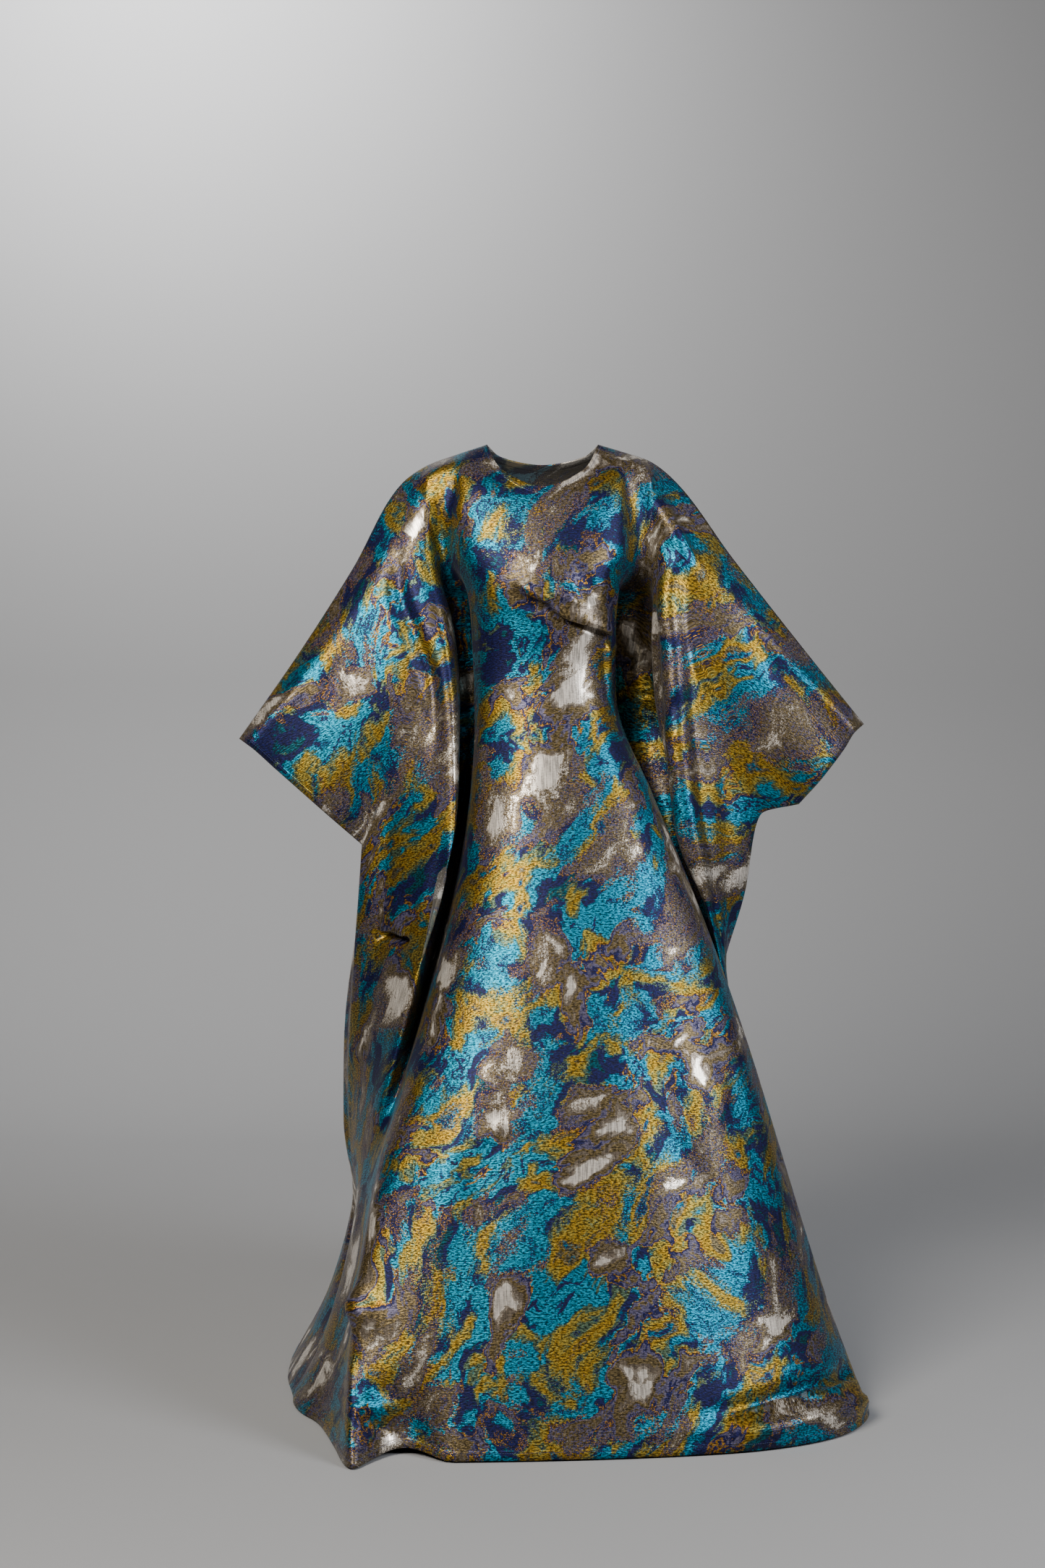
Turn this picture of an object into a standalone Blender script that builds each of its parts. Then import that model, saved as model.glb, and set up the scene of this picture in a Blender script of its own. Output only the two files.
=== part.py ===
# Floor-length butterfly kaftan of stiff brocade, in the hollow form that it has when it is worn.
# Metres, +Z up, the front towards -Y, +X to the right of someone who faces the front.
# The origin lies between the wearer's shoulders, where the kaftan is carried.
import bpy
import bmesh
import numpy as np

# Driving sizes
SHOULDER_HEIGHT = 1.450     # shoulder line above the floor that the hem rests on
WALL = 0.002                # brocade, with the turnings that stiffen its edges
SEAM_GAP = 0.0003           # between the two panels along a seam
TURN_IN = 0.007             # how far from its edge the cloth starts to turn in to the seam or cuff
TURN_DEPTH = 0.006          # how far it turns in
ARM_ROUND = 0.042           # radius of the cloth where it lies over the arm
SHOULDER_ROUND = 0.048      # the same over the shoulder, beside the neck
HEM_LIFT = 0.003            # outer face of the hem above the floor
CUFF_DEPTH = 0.054          # open cuff, from its front edge to its back edge
WING_CROWN_FRONT = 0.012    # how far the wing stands out between its roll and its edge, at mid width
WING_CROWN_BACK = 0.016

# The cloth hangs in lines that run from the shoulder ridge down to the hem. Across a panel they are:
# centre, breast, flank, side, recess, roll, two lines on the wing, the turn, and the edge with the cuff
# and the side seam.
LINES = ("centre", "breast", "flank", "side", "recess", "roll", "wing_in", "wing_out", "turn", "edge")
COLUMN_STEPS = (2, 3, 3, 3, 4, 3, 3, 2, 1)      # columns of faces between neighbouring lines

# Levels cross the lines, and follow the weft: level through the body, sloping down along the sleeves.
LEVELS = ("neck", "over", "chest", "bust", "cuff_end", "waist", "hip", "thigh", "low_thigh", "knee",
          "shin", "hem")
ROW_STEPS = (2, 2, 3, 5, 3, 4, 4, 3, 3, 3, 3)   # rows of faces between neighbouring levels
ROUNDING_PASSES = 1                             # how often the folds between the lines are eased

# Shares that place the lines between those that the tables give
NECK_TURN = 50              # degrees round the neckline, from the centre to the breast line
NECK_ROUND = 1.3            # above 1, the neckline is flatter at the centre
SEAM_SHARE = {"side": 0.36, "recess": 0.70}     # along the seam from the neck point to the shoulder
SEAM_CROWN = {"side": 0.006, "recess": 0.010}   # how far the shoulder rises above a straight seam
OVER_DROP = {"side": 0.026, "recess": 0.030}    # from the seam down to the over level
OVER_TURNS = (0.42, 0.78)   # breast and flank over the shoulder, as shares of a quarter turn
BODY_TURNS = (0.36, 0.70)   # the same on the body
BODY_ROUND = 0.85           # under 1, the body is squarer than an ellipse
LEVEL_BEND = 1.5            # above 1, a level stays flat near the centre and drops further out
SIDE_DROP = 0.35            # how far a level has dropped at the side, as a share of its drop at the roll
RECESS_DROP = 0.7
ARM_SHARES = (0.95, 1.0, 0.9, 0.55)             # of the arm's radius, from the roll to the cuff
ROLL_TO_ELBOW = 2 / 3       # where the lines on the wing start along the sleeve
ELBOW_TO_CUFF = 1 / 3

FOLD_SAMPLES = 40           # points along the path of a fold
FOLD_LINES = 1.5            # a fold works no further than this from its path, counted in lines


def table(columns, rows):
    """Short table as one array for each named column."""
    return {name: np.array([row[i] for row in rows]) for i, name in enumerate(columns.split())}


# Heights are above the floor. Reach is towards the front, so it is negative behind the shoulders.
CENTRE = table("lean front front_up back back_up", (
    (0.000, 0.082, 1.402, -0.056, 1.452),   # neck
    (0.000, 0.098, 1.374, -0.082, 1.430),   # over
    (0.001, 0.120, 1.315, -0.114, 1.350),   # chest
    (0.000, 0.134, 1.250, -0.124, 1.272),   # bust
    (-0.001, 0.121, 1.186, -0.121, 1.195),  # cuff_end
    (-0.003, 0.111, 1.115, -0.117, 1.120),  # waist
    (-0.004, 0.149, 0.950, -0.136, 0.950),  # hip
    (-0.007, 0.225, 0.710, -0.200, 0.710),  # thigh
    (-0.009, 0.282, 0.540, -0.256, 0.540),  # low_thigh
    (-0.011, 0.330, 0.390, -0.312, 0.385),  # knee
    (-0.013, 0.398, 0.150, -0.425, 0.150),  # shin
    (-0.014, 0.440, 0.003, -0.492, 0.003),  # hem
))

# Seam along the shoulder and the top of the sleeve: out from the centre, reach, height
RIDGE_COLUMNS = "out reach up"
RIDGE_RIGHT = table(RIDGE_COLUMNS, (
    (0.088, 0.000, 1.477),  # neck point
    (0.203, 0.002, 1.426),  # shoulder, where the roll starts
    (0.352, 0.018, 1.228),  # middle of the sleeve
    (0.505, 0.036, 1.034),  # top corner of the cuff
))
RIDGE_LEFT = table(RIDGE_COLUMNS, (
    (0.088, 0.000, 1.477),  # neck point
    (0.222, 0.002, 1.416),  # shoulder
    (0.340, 0.018, 1.210),  # middle of the sleeve
    (0.477, 0.036, 1.011),  # top corner of the cuff
))

# From the chest level down. The side fold bounds the body, the recess is the valley beside it, and the
# roll is the front edge of the hanging wing. The edge is the cuff down to cuff_end, and then the seam.
SIDE_COLUMNS = "side_out side recess_out recess roll_out roll roll_up edge_out edge edge_up"
FRONT_RIGHT = table(SIDE_COLUMNS, (
    (0.138, 0.062, 0.162, 0.034, 0.197, 0.056, 1.300, 0.474, 0.054, 0.998),    # chest
    (0.116, 0.060, 0.150, 0.000, 0.194, 0.065, 1.228, 0.440, 0.058, 0.953),    # bust
    (0.107, 0.048, 0.146, -0.018, 0.202, 0.071, 1.148, 0.404, 0.030, 0.908),   # cuff_end
    (0.104, 0.036, 0.146, -0.024, 0.206, 0.079, 1.062, 0.347, 0.018, 0.893),   # waist
    (0.172, 0.052, 0.188, -0.016, 0.221, 0.083, 0.890, 0.322, 0.008, 0.770),   # hip
    (0.265, 0.098, 0.246, 0.012, 0.277, 0.060, 0.670, 0.286, -0.034, 0.600),   # thigh
    (0.324, 0.104, 0.280, 0.020, 0.306, 0.022, 0.505, 0.296, -0.042, 0.455),   # low_thigh
    (0.369, 0.110, 0.332, 0.034, 0.347, 0.002, 0.360, 0.326, -0.046, 0.310),   # knee
    (0.440, 0.128, 0.424, 0.078, 0.424, 0.030, 0.138, 0.405, -0.032, 0.120),   # shin
    (0.490, 0.212, 0.482, 0.140, 0.474, 0.066, 0.003, 0.452, -0.020, 0.003),   # hem
))
FRONT_LEFT = table(SIDE_COLUMNS, (
    (0.142, 0.058, 0.158, 0.034, 0.180, 0.058, 1.296, 0.420, 0.054, 0.965),    # chest
    (0.114, 0.052, 0.134, 0.004, 0.160, 0.073, 1.218, 0.362, 0.058, 0.914),    # bust
    (0.108, 0.042, 0.124, -0.015, 0.146, 0.086, 1.140, 0.285, 0.030, 0.844),   # cuff_end
    (0.106, 0.035, 0.122, -0.020, 0.136, 0.097, 1.052, 0.291, 0.018, 0.770),   # waist
    (0.113, 0.062, 0.124, 0.000, 0.133, 0.120, 0.890, 0.301, 0.008, 0.640),    # hip
    (0.156, 0.108, 0.170, 0.050, 0.188, 0.160, 0.655, 0.310, -0.005, 0.470),   # thigh
    (0.200, 0.186, 0.208, 0.116, 0.231, 0.160, 0.500, 0.306, -0.015, 0.350),   # low_thigh
    (0.243, 0.266, 0.252, 0.200, 0.266, 0.130, 0.350, 0.292, -0.015, 0.240),   # knee
    (0.278, 0.382, 0.282, 0.300, 0.300, 0.200, 0.135, 0.336, 0.050, 0.088),    # shin
    (0.268, 0.476, 0.298, 0.385, 0.336, 0.262, 0.003, 0.385, 0.130, 0.003),    # hem
))

# The back falls from the shoulder blades. It shares its edge with the front.
BACK_COLUMNS = "side_out side recess_out recess roll_out roll"
BACK_RIGHT = table(BACK_COLUMNS, (
    (0.135, -0.078, 0.165, -0.056, 0.203, -0.058),  # chest
    (0.126, -0.098, 0.156, -0.066, 0.206, -0.082),  # bust
    (0.120, -0.104, 0.156, -0.066, 0.214, -0.092),  # cuff_end
    (0.118, -0.102, 0.158, -0.066, 0.222, -0.098),  # waist
    (0.148, -0.122, 0.192, -0.078, 0.240, -0.102),  # hip
    (0.212, -0.178, 0.244, -0.125, 0.272, -0.106),  # thigh
    (0.248, -0.222, 0.276, -0.165, 0.298, -0.120),  # low_thigh
    (0.286, -0.270, 0.312, -0.205, 0.338, -0.142),  # knee
    (0.345, -0.352, 0.372, -0.292, 0.412, -0.190),  # shin
    (0.352, -0.425, 0.398, -0.350, 0.436, -0.215),  # hem
))
BACK_LEFT = table(BACK_COLUMNS, (
    (0.138, -0.078, 0.168, -0.056, 0.208, -0.058),  # chest
    (0.128, -0.098, 0.154, -0.066, 0.202, -0.082),  # bust
    (0.120, -0.104, 0.150, -0.064, 0.206, -0.094),  # cuff_end
    (0.118, -0.102, 0.150, -0.064, 0.214, -0.102),  # waist
    (0.145, -0.122, 0.176, -0.076, 0.240, -0.114),  # hip
    (0.200, -0.180, 0.234, -0.124, 0.292, -0.118),  # thigh
    (0.226, -0.225, 0.258, -0.165, 0.308, -0.112),  # low_thigh
    (0.240, -0.275, 0.262, -0.205, 0.288, -0.120),  # knee
    (0.286, -0.385, 0.312, -0.300, 0.330, -0.175),  # shin
    (0.312, -0.452, 0.364, -0.365, 0.398, -0.190),  # hem
))

# Folds: where each starts and ends, in line and level numbers (lines are negative on the left), its half
# width and height (negative for a trough), how far its crest hangs down (negative for a lifted one), and
# the share of its length over which it fades in and out.
FOLD_COLUMNS = "line_0 level_0 line_1 level_1 half height hang fade_in fade_out"
FRONT_FOLDS = table(FOLD_COLUMNS, (
    (-0.95, 2.95, 2.50, 4.02, 0.027, 0.013, 0.004, 0.35, 0.20),     # tuck across the waist
    (2.28, 4.15, 2.67, 5.30, 0.014, 0.006, 0.000, 0.20, 0.50),      # pressed ridge under its end
    (-5.55, 1.20, -5.60, 5.40, 0.022, -0.008, 0.000, 0.30, 0.40),   # crease beside the left roll
    (5.10, 0.70, 5.40, 1.90, 0.022, 0.006, 0.000, 0.40, 0.60),      # ridge from the right shoulder
    (-7.20, 5.92, -5.80, 6.54, 0.024, 0.009, 0.004, 0.35, 0.35),    # pinch on the left wing
    (-3.60, 9.72, -1.50, 9.88, 0.034, 0.011, 0.000, 0.30, 0.50),    # buckle at the left knee
    (-2.60, 10.58, -1.30, 10.70, 0.022, 0.008, 0.000, 0.30, 0.50),  # crease above the left hem
    (0.90, 10.72, 1.75, 10.60, 0.030, 0.011, 0.000, 0.60, 0.00),    # buckle above the right hem
    (1.75, 10.60, 2.70, 10.70, 0.030, 0.011, 0.000, 0.00, 0.50),    # the same, to the corner
    (-1.52, 11.00, -1.46, 10.10, 0.075, -0.048, -0.016, 0.00, 0.90),    # lifted dip in the left hem
))
BACK_FOLDS = table(FOLD_COLUMNS, (
    (-2.30, 11.00, -1.60, 5.20, 0.095, 0.046, 0.000, 0.00, 0.75),   # flutes from the hips to the hem
    (-0.75, 11.00, -0.55, 4.40, 0.080, 0.036, 0.000, 0.00, 0.80),
    (0.95, 11.00, 0.70, 4.80, 0.090, 0.044, 0.000, 0.00, 0.75),
    (2.45, 11.00, 1.85, 5.60, 0.080, 0.036, 0.000, 0.00, 0.80),
    (-2.90, 1.60, -0.90, 4.30, 0.040, 0.007, 0.000, 0.30, 0.60),    # drag lines from the shoulders
    (2.90, 1.60, 0.90, 4.60, 0.042, 0.008, 0.000, 0.30, 0.60),
))


def smooth(knots, values, at):
    """Monotone cubic through the values of each column, so that no fold overshoots its own points."""
    step = np.diff(knots)
    slope = np.diff(values, axis=0) / step[:, None]
    tangent = np.zeros_like(values)
    tangent[0] = slope[0]
    tangent[-1] = slope[-1]
    for i in range(1, len(knots) - 1):
        before, after = slope[i - 1], slope[i]
        same = before * after > 0
        w0 = 2 * step[i] + step[i - 1]
        w1 = step[i] + 2 * step[i - 1]
        mean = (w0 + w1) / (w0 / np.where(same, before, 1) + w1 / np.where(same, after, 1))
        tangent[i] = np.where(same, mean, 0)
    spot = np.clip(np.searchsorted(knots, at, side="right") - 1, 0, len(step) - 1)
    h = step[spot][:, None]
    t = ((at - knots[spot]) / step[spot])[:, None]
    return ((1 + 2 * t) * (1 - t) ** 2 * values[spot] + t * (1 - t) ** 2 * h * tangent[spot]
            + t * t * (3 - 2 * t) * values[spot + 1] + t * t * (t - 1) * h * tangent[spot + 1])


def chord(points):
    """Length along a row of points, from its first one."""
    return np.concatenate(([0], np.cumsum(np.linalg.norm(np.diff(points, axis=0), axis=1))))


def mix(a, b, share):
    return a + (b - a) * share


def spread(points, steps):
    """Smooth row of points through the given ones, with the given number of steps between each two."""
    knots = chord(points)
    at = [knots[0]]
    for i, count in enumerate(steps):
        at += [mix(knots[i], knots[i + 1], (k + 1) / count) for k in range(count)]
    return smooth(knots, points, np.array(at))


def spread_runs(points, steps, breaks):
    """The same, with corners at the breaks, where one run of cloth ends and the next one starts."""
    runs = [spread(points[a:b + 1], steps[a:b]) for a, b in zip(breaks, breaks[1:])]
    return np.concatenate([runs[0]] + [run[1:] for run in runs[1:]])


def point(out, reach, up):
    return np.array((out, -reach, up - SHOULDER_HEIGHT))


def ridge_row(ridge, neck_reach, neck_up):
    """Neckline from the centre to the neck point, then the seam out to the top corner of the cuff."""
    neck, shoulder, elbow, cuff = (point(*(ridge[c][i] for c in RIDGE_COLUMNS.split())) for i in range(4))
    centre = point(0, neck_reach, neck_up)
    turn = np.radians(NECK_TURN)
    breast = point(neck[0] * np.sin(turn), neck_reach * np.cos(turn),
                   mix(neck_up, ridge["up"][0], 1 - np.cos(turn) ** NECK_ROUND))
    side, recess = (mix(neck, shoulder, SEAM_SHARE[line]) + (0, 0, SEAM_CROWN[line])
                    for line in ("side", "recess"))
    turn_in = mix(cuff, elbow, TURN_IN / np.linalg.norm(elbow - cuff))
    return [centre, breast, neck, side, recess, shoulder, mix(shoulder, elbow, ROLL_TO_ELBOW),
            mix(elbow, cuff, ELBOW_TO_CUFF), turn_in, cuff]


def over_row(top, facing, reach, up):
    """Next row down, where the cloth has turned over the shoulder and the arm."""
    at = {line: top[i] for i, line in enumerate(LINES)}
    sleeve = at["edge"] - at["roll"]
    down = np.array((sleeve[2], 0, -sleeve[0])) / np.hypot(sleeve[0], sleeve[2])
    centre = point(0, reach, up)
    side, recess = (at[line] + (0, -facing * SHOULDER_ROUND, -OVER_DROP[line])
                    for line in ("side", "recess"))
    row = [centre]
    for turn in OVER_TURNS:
        angle = turn * np.pi / 2
        row.append(np.array((side[0] * np.sin(angle), mix(side[1], centre[1], np.cos(angle)),
                             mix(centre[2], side[2], turn ** LEVEL_BEND))))
    row += [side, recess]
    for line, share in zip(("roll", "wing_in", "wing_out", "edge"), ARM_SHARES):
        row.append(at[line] + (down + (0, -facing, 0)) * ARM_ROUND * share)
    return with_turn(row, facing)


def with_turn(row, facing):
    """Adds the line where the cloth turns in, just inside the edge."""
    inward = row[-2] - row[-1]
    turn = row[-1] + inward * (1, 0, 1) / np.linalg.norm(inward) * TURN_IN + (0, -facing * TURN_DEPTH, 0)
    return row[:-1] + [turn, row[-1]]


def body_row(centre, side, recess, roll, edge, facing, lean):
    """One level from the centre line out: a rounded body, the recess, the roll, and the wing."""
    row = [np.array((lean, centre[1], centre[2]))]
    for turn in BODY_TURNS:
        angle = turn * np.pi / 2
        row.append(np.array((mix(lean, side[0], np.sin(angle)),
                             mix(side[1], centre[1], np.cos(angle) ** BODY_ROUND),
                             mix(centre[2], side[2], turn ** LEVEL_BEND))))
    row += [side, recess, roll]
    crown = WING_CROWN_FRONT if facing > 0 else WING_CROWN_BACK
    run = edge - roll
    stand = np.array((run[1], -run[0], 0)) * facing / np.hypot(run[0], run[1]) * crown
    for share in (1 / 3, 2 / 3):
        row.append(mix(roll, edge, share) + stand * 4 * share * (1 - share))
    return with_turn(row + [edge], facing)


def half_panel(sign, facing, ridge, shape, front_shape):
    """Points [level][line] of one half of a panel. Facing is 1 for the front and -1 for the back."""
    name = "front" if facing > 0 else "back"
    reach, up = CENTRE[name], CENTRE[name + "_up"]
    rows = [ridge_row(ridge, reach[0], up[0])]
    rows.append(over_row(rows[0], facing, reach[1], up[1]))
    first, cuff_end = LEVELS.index("chest"), LEVELS.index("cuff_end")
    for level in range(first, len(LEVELS)):
        i = level - first
        roll_up = front_shape["roll_up"][i]
        lean = CENTRE["lean"][level] * sign
        edge_reach = front_shape["edge"][i]
        if facing < 0 and level < cuff_end:
            edge_reach -= CUFF_DEPTH
        rows.append(body_row(
            point(0, reach[level], up[level]),
            point(shape["side_out"][i], shape["side"][i], mix(up[level], roll_up, SIDE_DROP)),
            point(shape["recess_out"][i], shape["recess"][i], mix(up[level], roll_up, RECESS_DROP)),
            point(shape["roll_out"][i], shape["roll"][i], roll_up),
            point(front_shape["edge_out"][i], edge_reach, front_shape["edge_up"][i]),
            facing, lean))
    return np.array(rows) * (sign, 1, 1)


def panel_points(facing):
    """Outer face of a panel as a grid [row][column], from the left edge to the right one."""
    shapes = (FRONT_LEFT, FRONT_RIGHT) if facing > 0 else (BACK_LEFT, BACK_RIGHT)
    left = half_panel(-1, facing, RIDGE_LEFT, shapes[0], FRONT_LEFT)
    right = half_panel(1, facing, RIDGE_RIGHT, shapes[1], FRONT_RIGHT)
    lines = np.concatenate((left[:, :0:-1], right), axis=1)
    edge_breaks = (0, LEVELS.index("cuff_end"), len(LEVELS) - 1)
    plain_breaks = (0, len(LEVELS) - 1)
    last = lines.shape[1] - 1
    down = np.stack([spread_runs(lines[:, i], ROW_STEPS, edge_breaks if i in (0, last) else plain_breaks)
                     for i in range(last + 1)], axis=1)
    steps = COLUMN_STEPS[::-1] + COLUMN_STEPS
    middle = len(COLUMN_STEPS)
    neck = LINES.index("flank")
    neck_breaks = (0, middle - neck, middle + neck, last)
    grid = np.stack([spread_runs(row, steps, neck_breaks if i == 0 else (0, last))
                     for i, row in enumerate(down)])
    edge = sum(COLUMN_STEPS[LINES.index("wing_out"):])      # the columns that turn in stay as they are
    for _ in range(ROUNDING_PASSES):
        eased = (grid[1:, :-2] + 2 * grid[1:, 1:-1] + grid[1:, 2:]) / 4
        grid[1:, edge:-edge] = eased[:, edge - 1:1 - edge]
    return grid


def normals(grid, facing):
    """Outward direction at each point, from the four faces round it."""
    across = np.diff(grid, axis=1)
    along = np.diff(grid, axis=0)
    face = (np.cross(along[:, :-1], across[:-1]) + np.cross(along[:, 1:], across[1:])) * facing
    face /= np.linalg.norm(face, axis=2, keepdims=True)
    out = np.zeros_like(grid)
    for i, j in ((0, 0), (0, 1), (1, 0), (1, 1)):
        out[i:i + face.shape[0], j:j + face.shape[1]] += face
    return out / np.linalg.norm(out, axis=2, keepdims=True)


def index_numbers(steps):
    """Line or level number at each step of the grid."""
    return np.concatenate([[0.0]] + [i + np.arange(1, count + 1) / count for i, count in enumerate(steps)])


def at_index(grid, row, column):
    """Point on the grid between its own points."""
    i, j = min(int(row), grid.shape[0] - 2), min(int(column), grid.shape[1] - 2)
    upper = mix(grid[i, j], grid[i, j + 1], column - j)
    lower = mix(grid[i + 1, j], grid[i + 1, j + 1], column - j)
    return mix(upper, lower, row - i)


def ease(x):
    x = np.clip(x, 0, 1)
    return x * x * (3 - 2 * x)


def fading(along, share):
    """Grows from 0 to 1 over the given share of a fold's length. With no share the fold starts at once."""
    return ease(along / share) if share > 0 else 1.0


def folded(grid, facing, folds):
    """Raises or sinks each fold along its path, square to the cloth."""
    half = index_numbers(COLUMN_STEPS)
    lines = np.concatenate((-half[:0:-1], half))
    levels = index_numbers(ROW_STEPS)
    out = normals(grid, facing)
    result = grid.copy()
    for k in range(len(folds["half"])):
        fold = {name: values[k] for name, values in folds.items()}
        share = np.linspace(0, 1, FOLD_SAMPLES)
        path = np.array([at_index(grid, np.interp(mix(fold["level_0"], fold["level_1"], t), levels,
                                                  np.arange(len(levels))),
                                  np.interp(mix(fold["line_0"], fold["line_1"], t), lines,
                                            np.arange(len(lines)))) for t in share])
        gap = np.linalg.norm(grid[:, :, None] - path, axis=3)
        nearest = gap.argmin(axis=2)
        reach = np.minimum(gap.min(axis=2) / fold["half"], 1)
        along = share[nearest]
        beside = np.abs(lines[None, :] - mix(fold["line_0"], fold["line_1"], along)) < FOLD_LINES
        fade = fading(along, fold["fade_in"]) * fading(1 - along, fold["fade_out"])
        size = (np.cos(reach * np.pi / 2) ** 2 * fade * beside)[..., None]
        result += out * size * fold["height"] + np.array((0, 0, -1)) * size * fold["hang"]
    return result


def seam_inward(grid, inward):
    """Along a seam both panels turn in square to the seam line, so that they meet edge to edge."""
    middle = grid.shape[1] // 2
    neck = sum(COLUMN_STEPS[:LINES.index("flank")])
    cuff_end = sum(ROW_STEPS[:LEVELS.index("cuff_end")])
    runs = [((0, slice(0, middle - neck + 1)), -1), ((0, slice(middle + neck, None)), -1),
            ((slice(cuff_end, None), 0), 1), ((slice(cuff_end, None), -1), -1)]
    seam = np.zeros(grid.shape[:2], bool)
    for spot, sign in runs:
        line = grid[spot]
        run = np.gradient(line, axis=0) * (1, 0, 1)
        square = np.stack((-run[:, 2], np.zeros(len(run)), run[:, 0]), axis=1) * sign
        inward[spot] = square / np.linalg.norm(square, axis=1, keepdims=True) * WALL
        seam[spot] = True
    return seam


def wall(name, facing, material):
    """Panel as one closed wall: the outer grid, the inner one, and a rim round the edge."""
    outer = folded(panel_points(facing), facing, FRONT_FOLDS if facing > 0 else BACK_FOLDS)
    rows, columns = outer.shape[:2]
    inward = -normals(outer, facing) * WALL
    seam = seam_inward(outer, inward)
    outer = outer + np.where(seam[..., None], (0, -facing * SEAM_GAP / 2, 0), 0)
    inner = outer + inward
    outer[..., 2] = np.maximum(outer[..., 2], HEM_LIFT - SHOULDER_HEIGHT)
    inner[..., 2] = np.maximum(inner[..., 2], -SHOULDER_HEIGHT)

    bm = bmesh.new()
    skins = [[[bm.verts.new(p) for p in row] for row in grid] for grid in (outer, inner)]
    # Both skins are split along the same diagonal of each cell, the shorter one, so they never cross.
    falling = np.linalg.norm(outer[1:, 1:] - outer[:-1, :-1], axis=2)
    rising = np.linalg.norm(outer[1:, :-1] - outer[:-1, 1:], axis=2)
    for skin, forward in zip(skins, (facing > 0, facing < 0)):
        for i in range(rows - 1):
            for j in range(columns - 1):
                corner = (skin[i][j], skin[i + 1][j], skin[i + 1][j + 1], skin[i][j + 1])
                turn = 0 if falling[i, j] < rising[i, j] else 1
                for a, b, c in ((0, 1, 2), (0, 2, 3)):
                    face = [corner[(k + turn) % 4] for k in (a, b, c)]
                    bm.faces.new(face if forward else face[::-1])
    border = ([(0, j) for j in range(columns - 1)] + [(i, columns - 1) for i in range(rows - 1)]
              + [(rows - 1, j) for j in range(columns - 1, 0, -1)] + [(i, 0) for i in range(rows - 1, 0, -1)])
    for (i0, j0), (i1, j1) in zip(border, border[1:] + border[:1]):
        quad = (skins[0][i0][j0], skins[0][i1][j1], skins[1][i1][j1], skins[1][i0][j0])
        bm.faces.new(quad if facing > 0 else quad[::-1])
    mesh = bpy.data.meshes.new(name)
    bm.to_mesh(mesh)
    bm.free()
    mesh.shade_smooth()
    mesh.materials.append(material)
    panel = bpy.data.objects.new(name, mesh)
    bpy.data.collections["kaftan"].objects.link(panel)
    return panel


def cloth_material(name, colour, roughness, metallic):
    material = bpy.data.materials.new(name)
    material.use_nodes = True
    shader = material.node_tree.nodes["Principled BSDF"]
    shader.inputs["Base Color"].default_value = (*colour, 1)
    shader.inputs["Roughness"].default_value = roughness
    shader.inputs["Metallic"].default_value = metallic
    return material


def main():
    for old in list(bpy.data.objects):
        bpy.data.objects.remove(old)
    collection = bpy.data.collections.new("kaftan")
    bpy.context.scene.collection.children.link(collection)
    wall("front_panel", 1, cloth_material("turquoise_gold_brocade", (0.05, 0.17, 0.22), 0.42, 0.5))
    wall("back_panel", -1, cloth_material("turquoise_gold_brocade_back", (0.05, 0.15, 0.20), 0.42, 0.5))


main()
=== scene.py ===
# %% [markdown]
# # A butterfly kaftan in marbled brocade
#
# A butterfly kaftan is the simplest cut there is: one wide oblong of cloth for the front and one for the
# back, joined along the shoulders and the tops of the half sleeves, and again down both sides below the
# open cuffs. Everything that makes this one worth looking at comes from its stiff brocade: broad smooth
# panels, one deep recess beside the body on each side, a tuck at the waist, and a marbled weave of
# turquoise and gold metal thread. This script lays a finer cloth over the plain solids of the frame,
# weaves it, sews its edges and lights it.

# %% Load the frame
from math import atan, cos, pi, radians, sin

import bpy
import numpy as np
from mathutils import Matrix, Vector


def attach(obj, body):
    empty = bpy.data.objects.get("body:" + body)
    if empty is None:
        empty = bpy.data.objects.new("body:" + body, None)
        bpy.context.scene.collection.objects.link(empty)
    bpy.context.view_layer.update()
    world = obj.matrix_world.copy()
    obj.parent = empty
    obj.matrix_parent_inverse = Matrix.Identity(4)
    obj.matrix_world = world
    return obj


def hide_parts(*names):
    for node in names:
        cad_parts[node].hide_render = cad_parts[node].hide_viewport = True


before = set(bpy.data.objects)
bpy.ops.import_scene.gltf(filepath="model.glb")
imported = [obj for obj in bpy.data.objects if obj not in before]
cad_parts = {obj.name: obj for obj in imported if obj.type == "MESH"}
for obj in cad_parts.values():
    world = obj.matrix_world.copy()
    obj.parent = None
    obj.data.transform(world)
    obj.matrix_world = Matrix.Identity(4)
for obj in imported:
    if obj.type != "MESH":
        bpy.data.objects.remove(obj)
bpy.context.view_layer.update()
print("frame nodes:", ", ".join(sorted(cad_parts)))

# %% [markdown]
# ## The camera
#
# A camera is easiest to check before anything else is made. The picture is upright, so Blender's 36 mm
# sensor lies along its height. The camera stood three and a half metres in front, at about the height of
# the wearer's hips, and looked down by one degree.

# %% Camera at the photograph's angle
SHOULDER_HEIGHT = 1.450     # the frame's origin is between the shoulders, this far above the floor
CAMERA_OUT = -0.0316
CAMERA_DISTANCE = 3.46
CAMERA_HEIGHT = 1.000
CAMERA_TILT = atan(53 / 3010)   # the horizon is 53 of the photo's pixels above its centre, at 3010 a radian
LENS_MM = 50
SENSOR_MM = 36


def in_scene(name, data):
    """New object in the scene, made of the given mesh, light or camera."""
    made = bpy.data.objects.new(name, data)
    bpy.context.scene.collection.objects.link(made)
    return made


camera_data = bpy.data.cameras.new("camera")
camera_data.lens = LENS_MM
camera_data.sensor_width = SENSOR_MM
camera = in_scene("camera", camera_data)
camera.location = (CAMERA_OUT, -CAMERA_DISTANCE, CAMERA_HEIGHT - SHOULDER_HEIGHT)
camera.rotation_euler = (pi / 2 - CAMERA_TILT, 0, 0)
bpy.context.scene.camera = camera
print("camera at", tuple(round(x, 3) for x in camera.location))

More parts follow.
